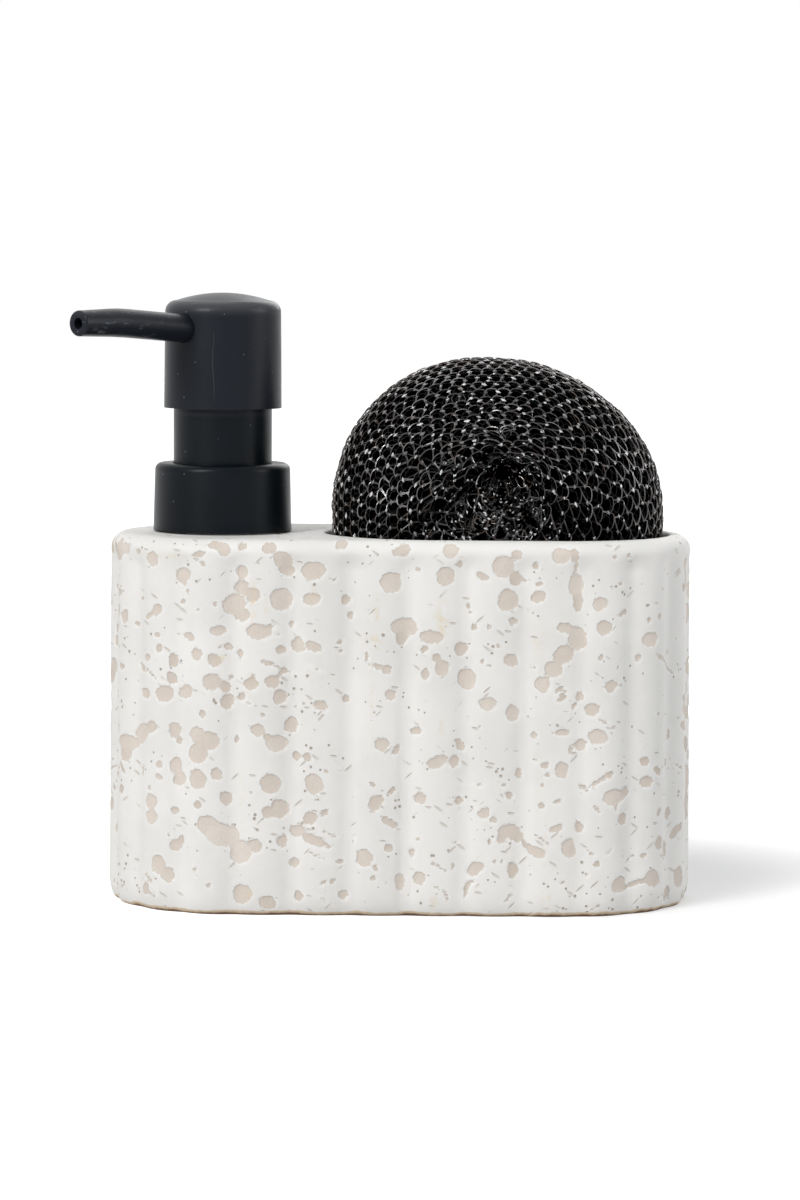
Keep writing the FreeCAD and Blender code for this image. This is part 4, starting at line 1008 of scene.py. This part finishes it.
class Finish(Nodes):
    """A material with its shader, and the patterns that its colours are made of."""

    def __init__(self, name, colour, roughness, specular=0.5, metallic=0.0):
        self.material = bpy.data.materials.new(name)
        self.material.use_nodes = True
        super().__init__(self.material.node_tree, "Object")
        self.shader = self.tree.nodes["Principled BSDF"]
        self.feed(self.shader, {
            "Base Color": (*colour, 1), "Roughness": roughness, "Specular IOR Level": specular,
            "Metallic": metallic})

    def noise(self, scale, detail, roughness=0.55, place=None):
        inputs = {"Scale": scale, "Detail": detail, "Roughness": roughness, "Vector": place or self.place}
        return self.add("TexNoise", inputs).outputs["Fac"]

    def patches(self, scale, detail, *steps):
        """Noise drawn apart into patches by a ramp."""
        return self.ramp(self.noise(scale, detail), *steps)

    def stray(self, scale, detail, reach):
        """Noise from -reach to reach."""
        return self.patches(scale, detail, 0.3, 0.7, -reach, reach)

    def cells(self, scale, place=None):
        """Distance from the nearest of many strewn points."""
        return self.add("TexVoronoi", {"Scale": scale, "Vector": place or self.place}).outputs["Distance"]

    def mapped(self, scale, turn=0.0, kind="POINT"):
        """Places stretched, and turned about the y axis, before a pattern reads them."""
        inputs = {"Rotation": (0, turn, 0), "Scale": scale, "Vector": self.place}
        return self.add("Mapping", inputs, vector_type=kind).outputs[0]

    def blend(self, factor, *ends):
        """The first colour turned into the second by a factor."""
        first, second = ((*end, 1) if isinstance(end, tuple) else end for end in ends)
        return self.add("Mix", {0: factor, 6: first, 7: second}, data_type="RGBA").outputs[2]

    def read(self, name):
        return self.add("Attribute", attribute_name=name).outputs["Fac"]

    def bump(self, height, distance, strength=1.0, under=None):
        node = self.add("Bump", {"Distance": distance, "Strength": strength, "Height": height})
        if under is not None:
            self.feed(node, {"Normal": under})
        return node.outputs["Normal"]

    def colour(self, socket):
        self.feed(self.shader, {"Base Color": socket})

    def rough(self, socket):
        self.feed(self.shader, {"Roughness": socket})

    def normal(self, socket):
        self.feed(self.shader, {"Normal": socket})


def ceramic_finish():
    """Chalky white glaze with bare beige spots, pinholes, ochre stains and a bare foot, whose lowest edge is
    dark brown clay with painted contact shade.
    """
    f = Finish("chalk_glaze", (0.83, 0.82, 0.795), 0.62, 0.35)
    distance = f.read("bare_spot")
    ragged = f.sum(f.sum(distance, f.stray(400, 2, 0.16)), f.stray(1300, 3, 0.2))
    bare = f.ramp(ragged, -0.2, 0.16, 1.0, 0.0)
    cloud = f.noise(38, 4)
    glaze = f.blend(f.ramp(cloud, 0.35, 0.65), GLAZE, PALE_GLAZE)
    glaze = f.blend(f.ramp(distance, 0.15, 0.9, 0.55, 0.0), glaze, LIP_GLAZE)
    pale = f.sum(f.read("spot_tone"), f.stray(70, 3, 0.2), clamp=True)
    clay = f.blend(pale, CLAY, PALE_CLAY)
    clay = f.blend(f.patches(1500, 2, 0.35, 0.7, 0.0, 0.25), clay, CLAY_GRAIN)
    # painted shade: the clay darker just inside each recessed spot's edge
    clay = f.blend(f.ramp(ragged, -0.5, -0.05, 0.0, 0.16), clay, SHADED_CLAY_EDGE)
    colour = f.blend(bare, glaze, clay)
    pit = f.sum(f.cells(470), f.patches(60, 2, 0.42, 0.7, 0.05, 0.2), "SUBTRACT")
    pit = f.ramp(pit, -0.05, 0.03, 1.0, 0.0)
    pit = f.times(pit, f.patches(120, 1, 0.42, 0.5), f.ramp(distance, 0.2, 0.5))
    colour = f.blend(pit, colour, PINHOLE)
    colour = f.blend(f.times(f.read("stain"), f.patches(650, 4, 0.42, 0.62)), colour, OCHRE)
    slashes = 0.0
    for turn, stretch, patch in ((0.6, 0.22, 31.0), (-0.75, 0.2, 43.0), (0.15, 0.3, 57.0)):
        turned = f.mapped((1 / stretch, 1 / stretch, 1), turn, "TEXTURE")
        cut = f.ramp(f.cells(400, turned), 0.07, 0.14, 1.0, 0.0)
        slashes = f.sum(slashes, f.times(cut, f.patches(patch, 2, 0.44, 0.5)), "MAXIMUM")
    slashes = f.times(slashes, f.ramp(distance, 0.1, 0.4))
    colour = f.blend(f.times(slashes, 0.6), colour, SLASH)
    foot = f.sum(f.axis("Z"), f.stray(160, 3, 0.0003))
    colour = f.blend(f.ramp(foot, 0.0009, 0.0014, 1.0, 0.0), colour, BARE_FOOT)
    # lowest band: dark brown bare clay and painted contact shade
    f.colour(f.blend(f.ramp(foot, 0.0003, 0.0008, 1.0, 0.0), colour, FOOT_EDGE_AND_CONTACT_SHADE))
    f.rough(f.sum(f.ramp(bare, 0, 1, 0.6, 0.85), f.ramp(cloud, 0.3, 0.7, -0.05, 0.05)))
    grain = f.bump(f.noise(2600, 3), 0.00003, 0.5)
    drawn = f.mapped((1, 1, 0.06))
    brushed = f.bump(f.noise(700, 3, place=drawn), 0.00006, 0.6, grain)
    step = f.bump(f.ramp(ragged, -0.3, 0.24), 0.00015, 1.0, brushed)
    hollow = f.sum(pit, f.times(slashes, 0.8), "MAXIMUM")
    f.normal(f.bump(f.sum(1.0, hollow, "SUBTRACT"), 0.00024, 1.0, step))
    return f.material


def black_plastic_finish(name, colour, roughness, specular):
    """Matte black moulded plastic: head painted paler as a painted sheen, its top paler still as a painted
    highlight, rubbed spout with a seam, dust, fine grain.
    """
    f = Finish(name, colour, roughness, specular)
    x, y, z = f.axis("X"), f.axis("Y"), f.axis("Z")
    grain, broad = f.noise(5200, 2), f.noise(55, 3)
    on_head = f.ramp(z, *HEAD_EDGE)
    speck = f.times(f.ramp(f.cells(330), 0.05, 0.085, 1.0, 0.0), f.patches(70, 1, 0.46, 0.5))
    darker = tuple(c * 0.86 for c in colour)
    lighter = tuple(c * 1.16 for c in colour)
    base = f.blend(f.ramp(broad, 0.35, 0.65), darker, lighter)
    # painted sheen on the head, and a painted highlight on its top where it catches the light
    base = f.blend(on_head, base, HEAD_SHEEN_BLACK)
    base = f.blend(f.ramp(z, *HEAD_TOP), base, TOP_HIGHLIGHT_BLACK)
    scuff = f.mapped((0.35, 0.35, 1.4), -0.25)
    rubbed = f.ramp(f.noise(620, 4, 0.7, scuff), 0.56, 0.70)
    rubbed = f.times(rubbed, f.ramp(x, *SPOUT_START, 1.0, 0.0), on_head)
    base = f.blend(f.times(rubbed, 0.5), base, RUBBED_BLACK)
    seam = f.sum(f.sum(x, f.stray(60, 2, 0.0004)), -SEAM_PLACE)
    seam = f.times(
        f.ramp(f.sum(seam, 0.0, "ABSOLUTE"), 0.00006, 0.00016, 1.0, 0.0), f.ramp(z, 0.130, 0.136),
        f.ramp(z, 0.148, 0.151, 1.0, 0.0), f.ramp(y, -0.0120, -0.0110, 1.0, 0.0))
    base = f.blend(f.times(seam, 0.6), base, SEAM_BLACK)
    f.colour(f.blend(f.times(speck, 0.45), base, DUST))
    f.rough(f.ramp(broad, 0.3, 0.7, roughness - 0.04, roughness + 0.05))
    f.normal(f.bump(grain, 0.00004, 0.35))
    return f.material


def net_finish():
    """Glossy black flat thread, browner in places, with painted glints: paler where each corner's painted
    glint mark is high.
    """
    f = Finish("black_thread", (0.014, 0.0125, 0.0115), 0.24, 0.6)
    rim = f.ramp(f.sum(f.axis("Y"), 0.0, "ABSOLUTE"), 0.003, 0.015, 0.7, 0.0)
    brown = f.sum(f.patches(330, 2, 0.48, 0.68), rim, clamp=True)
    f.colour(f.blend(f.read("painted_glint"), f.blend(brown, THREAD_BLACK, THREAD_BROWN), THREAD_GLINT))
    f.rough(f.patches(1400, 2, 0.3, 0.7, 0.12, 0.34))
    return f.material


def deep_net_finish():
    """Thread of the lower layers, in the shade of the net above."""
    f = Finish("shaded_thread", (0.004, 0.004, 0.0045), 0.5, 0.17)
    f.rough(f.patches(1400, 2, 0.3, 0.7, 0.4, 0.6))
    return f.material


def shade_sheet_finish():
    """Deep shade between the layers of the scourer."""
    f = Finish("net_shade", (0.002, 0.002, 0.002), 0.95, 0.0)
    f.colour(f.blend(f.patches(420, 3, 0.5, 0.8), (0.0004, 0.0004, 0.0004), (0.0024, 0.0021, 0.0019)))
    f.normal(f.bump(f.noise(380, 2), 0.0006, 0.8))
    return f.material


def moulded_finish(name, colour, roughness, specular=0.5, tint=0.06):
    """Plain moulded plastic or rubber: slight clouding, fine grain and flow marks."""
    f = Finish(name, colour, roughness, specular)
    low = tuple(c * (1 - tint) for c in colour)
    high = tuple(min(1, c * (1 + tint)) for c in colour)
    f.colour(f.blend(f.patches(140, 3, 0.35, 0.65), low, high))
    f.rough(f.patches(900, 2, 0.3, 0.7, roughness - 0.05, roughness + 0.07))
    f.normal(f.bump(f.noise(2400, 2), 0.00003, 0.3))
    return f.material


def steel_finish():
    """Drawn stainless wire and ball: fine drawing marks."""
    f = Finish("drawn_steel", (0.60, 0.60, 0.61), 0.26, 0.5, 1.0)
    marks = f.noise(1800, 4)
    f.colour(f.blend(f.ramp(marks, 0.3, 0.7), (0.52, 0.52, 0.53), (0.68, 0.68, 0.68)))
    f.rough(f.ramp(marks, 0.3, 0.7, 0.18, 0.36))
    return f.material


def white_room():
    """Surroundings that light the object softly, more from the right, and show white."""
    world = bpy.data.worlds.new("white_room")
    bpy.context.scene.world = world
    world.use_nodes = True
    w = Nodes(world.node_tree, "Generated")
    lit = w.tree.nodes["Background"]
    level = w.ramp(w.axis("X"), -1, 1, *WORLD_LEVEL, kind="LINEAR")
    w.feed(lit, {"Color": (0.97, 0.985, 1.0, 1), "Strength": level})
    white = w.add("Background", {"Color": (1, 1, 1, 1), "Strength": 1.0})
    mix = w.add("MixShader", {0: w.seen(), 1: lit.outputs[0], 2: white.outputs[0]})
    w.feed(w.tree.nodes["World Output"], {"Surface": mix.outputs[0]})


def pale_floor():
    """Floor that keeps the object's shadow and glows for the camera alone, more with distance."""
    bpy.ops.mesh.primitive_plane_add(size=8, location=(0, 0, 0))
    floor = bpy.context.object
    floor.name = "floor"
    f = Finish("floor_paper", (0.5, 0.5, 0.5), 0.7, 0.0)
    shift = f.add("VectorMath", {0: f.place, 1: GLOW_MIDDLE}, operation="SUBTRACT")
    away = f.add("VectorMath", {0: shift.outputs[0]}, operation="LENGTH")
    lift = f.ramp(away.outputs["Value"], *GLOW_REACH, *GLOW_LEVEL)
    glow = f.add("Emission", {"Strength": f.times(f.seen(), lift)})
    both = f.add("AddShader", {0: f.shader.outputs[0], 1: glow.outputs[0]})
    f.feed(f.tree.nodes["Material Output"], {"Surface": both.outputs[0]})
    floor.data.materials.append(f.material)


def lamps():
    """Soft lamps from the left and front, with weaker ones round the object."""
    for name, place, side, power, tint in LAMPS:
        lamp = bpy.data.lights.new(name, "AREA")
        lamp.shape = "RECTANGLE"
        lamp.size = lamp.size_y = side
        lamp.energy = power
        lamp.color = tint
        holder = placed(name, lamp)
        holder.location = place
        holder.rotation_euler = (Vector(LAMP_AIM) - Vector(place)).to_track_quat("-Z", "Y").to_euler()


def photograph_camera():
    """Camera at the photograph's place and angle."""
    eye = bpy.data.cameras.new("camera")
    eye.sensor_fit = "VERTICAL"
    eye.sensor_height = FILM_HEIGHT
    eye.lens = FOCAL_LENGTH
    eye.clip_end = 20
    camera = placed("camera", eye)
    camera.location = CAMERA_PLACE
    pitch = Matrix.Rotation(math.radians(90 - CAMERA_PITCH), 3, "X")
    roll = Matrix.Rotation(math.radians(CAMERA_ROLL), 3, "Z")
    camera.rotation_euler = (pitch @ roll).to_euler()
    bpy.context.scene.camera = camera
    bpy.context.scene.view_settings.view_transform = "Standard"


white_room()
pale_floor()
lamps()
photograph_camera()

finishes = {
    "ceramic": ceramic_finish(),
    "inner_plastic": moulded_finish("natural_plastic", (0.78, 0.79, 0.78), 0.38),
    "piston_plastic": moulded_finish("piston_plastic", (0.42, 0.55, 0.66), 0.35),
    "bond": moulded_finish("bonding_resin", (0.62, 0.60, 0.56), 0.5),
    "gasket": moulded_finish("gasket_foam", (0.60, 0.60, 0.58), 0.8, 0.3, 0.1),
    "black_plastic": black_plastic_finish("pump_black", (0.0018, 0.0038, 0.0060), 0.31, 0.12),
    "steel": steel_finish(),
    "mesh": net_finish(),
}
slots = {part["node"]: part["material_slot"] for part in frame["record"]["subparts"]}
for name, node in nodes.items():
    node.data.materials.clear()
    node.data.materials.append(finishes[slots[name]])

body = ceramic_body()
body.data.materials.append(finishes["ceramic"])
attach(body, "caddy")
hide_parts("caddy_body")

spring = welded_copy("return_spring", "coil_spring")
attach(spring, "pump_unit")
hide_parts("return_spring")
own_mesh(spring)

shade, deep = shade_sheet_finish(), deep_net_finish()
pieces = [
    knitted_net("scourer_net_front", False, seed=11, **NET),
    knitted_net("scourer_net_back", True, seed=12, **NET),
    knitted_net("scourer_under_net_front", False, seed=13, **UNDER_NET),
    knitted_net("scourer_under_net_back", True, seed=14, **UNDER_NET),
    loose_ends("scourer_gather_front", False, seed=21),
    loose_ends("scourer_gather_back", True, seed=22),
]
shade_sheet = painted_shade_sheet()
for piece in pieces + [shade_sheet]:
    piece.data.materials.append(
        shade if piece is shade_sheet else deep if "under" in piece.name else finishes["mesh"])
    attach(piece, "scourer")
    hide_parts("scourer_pad")
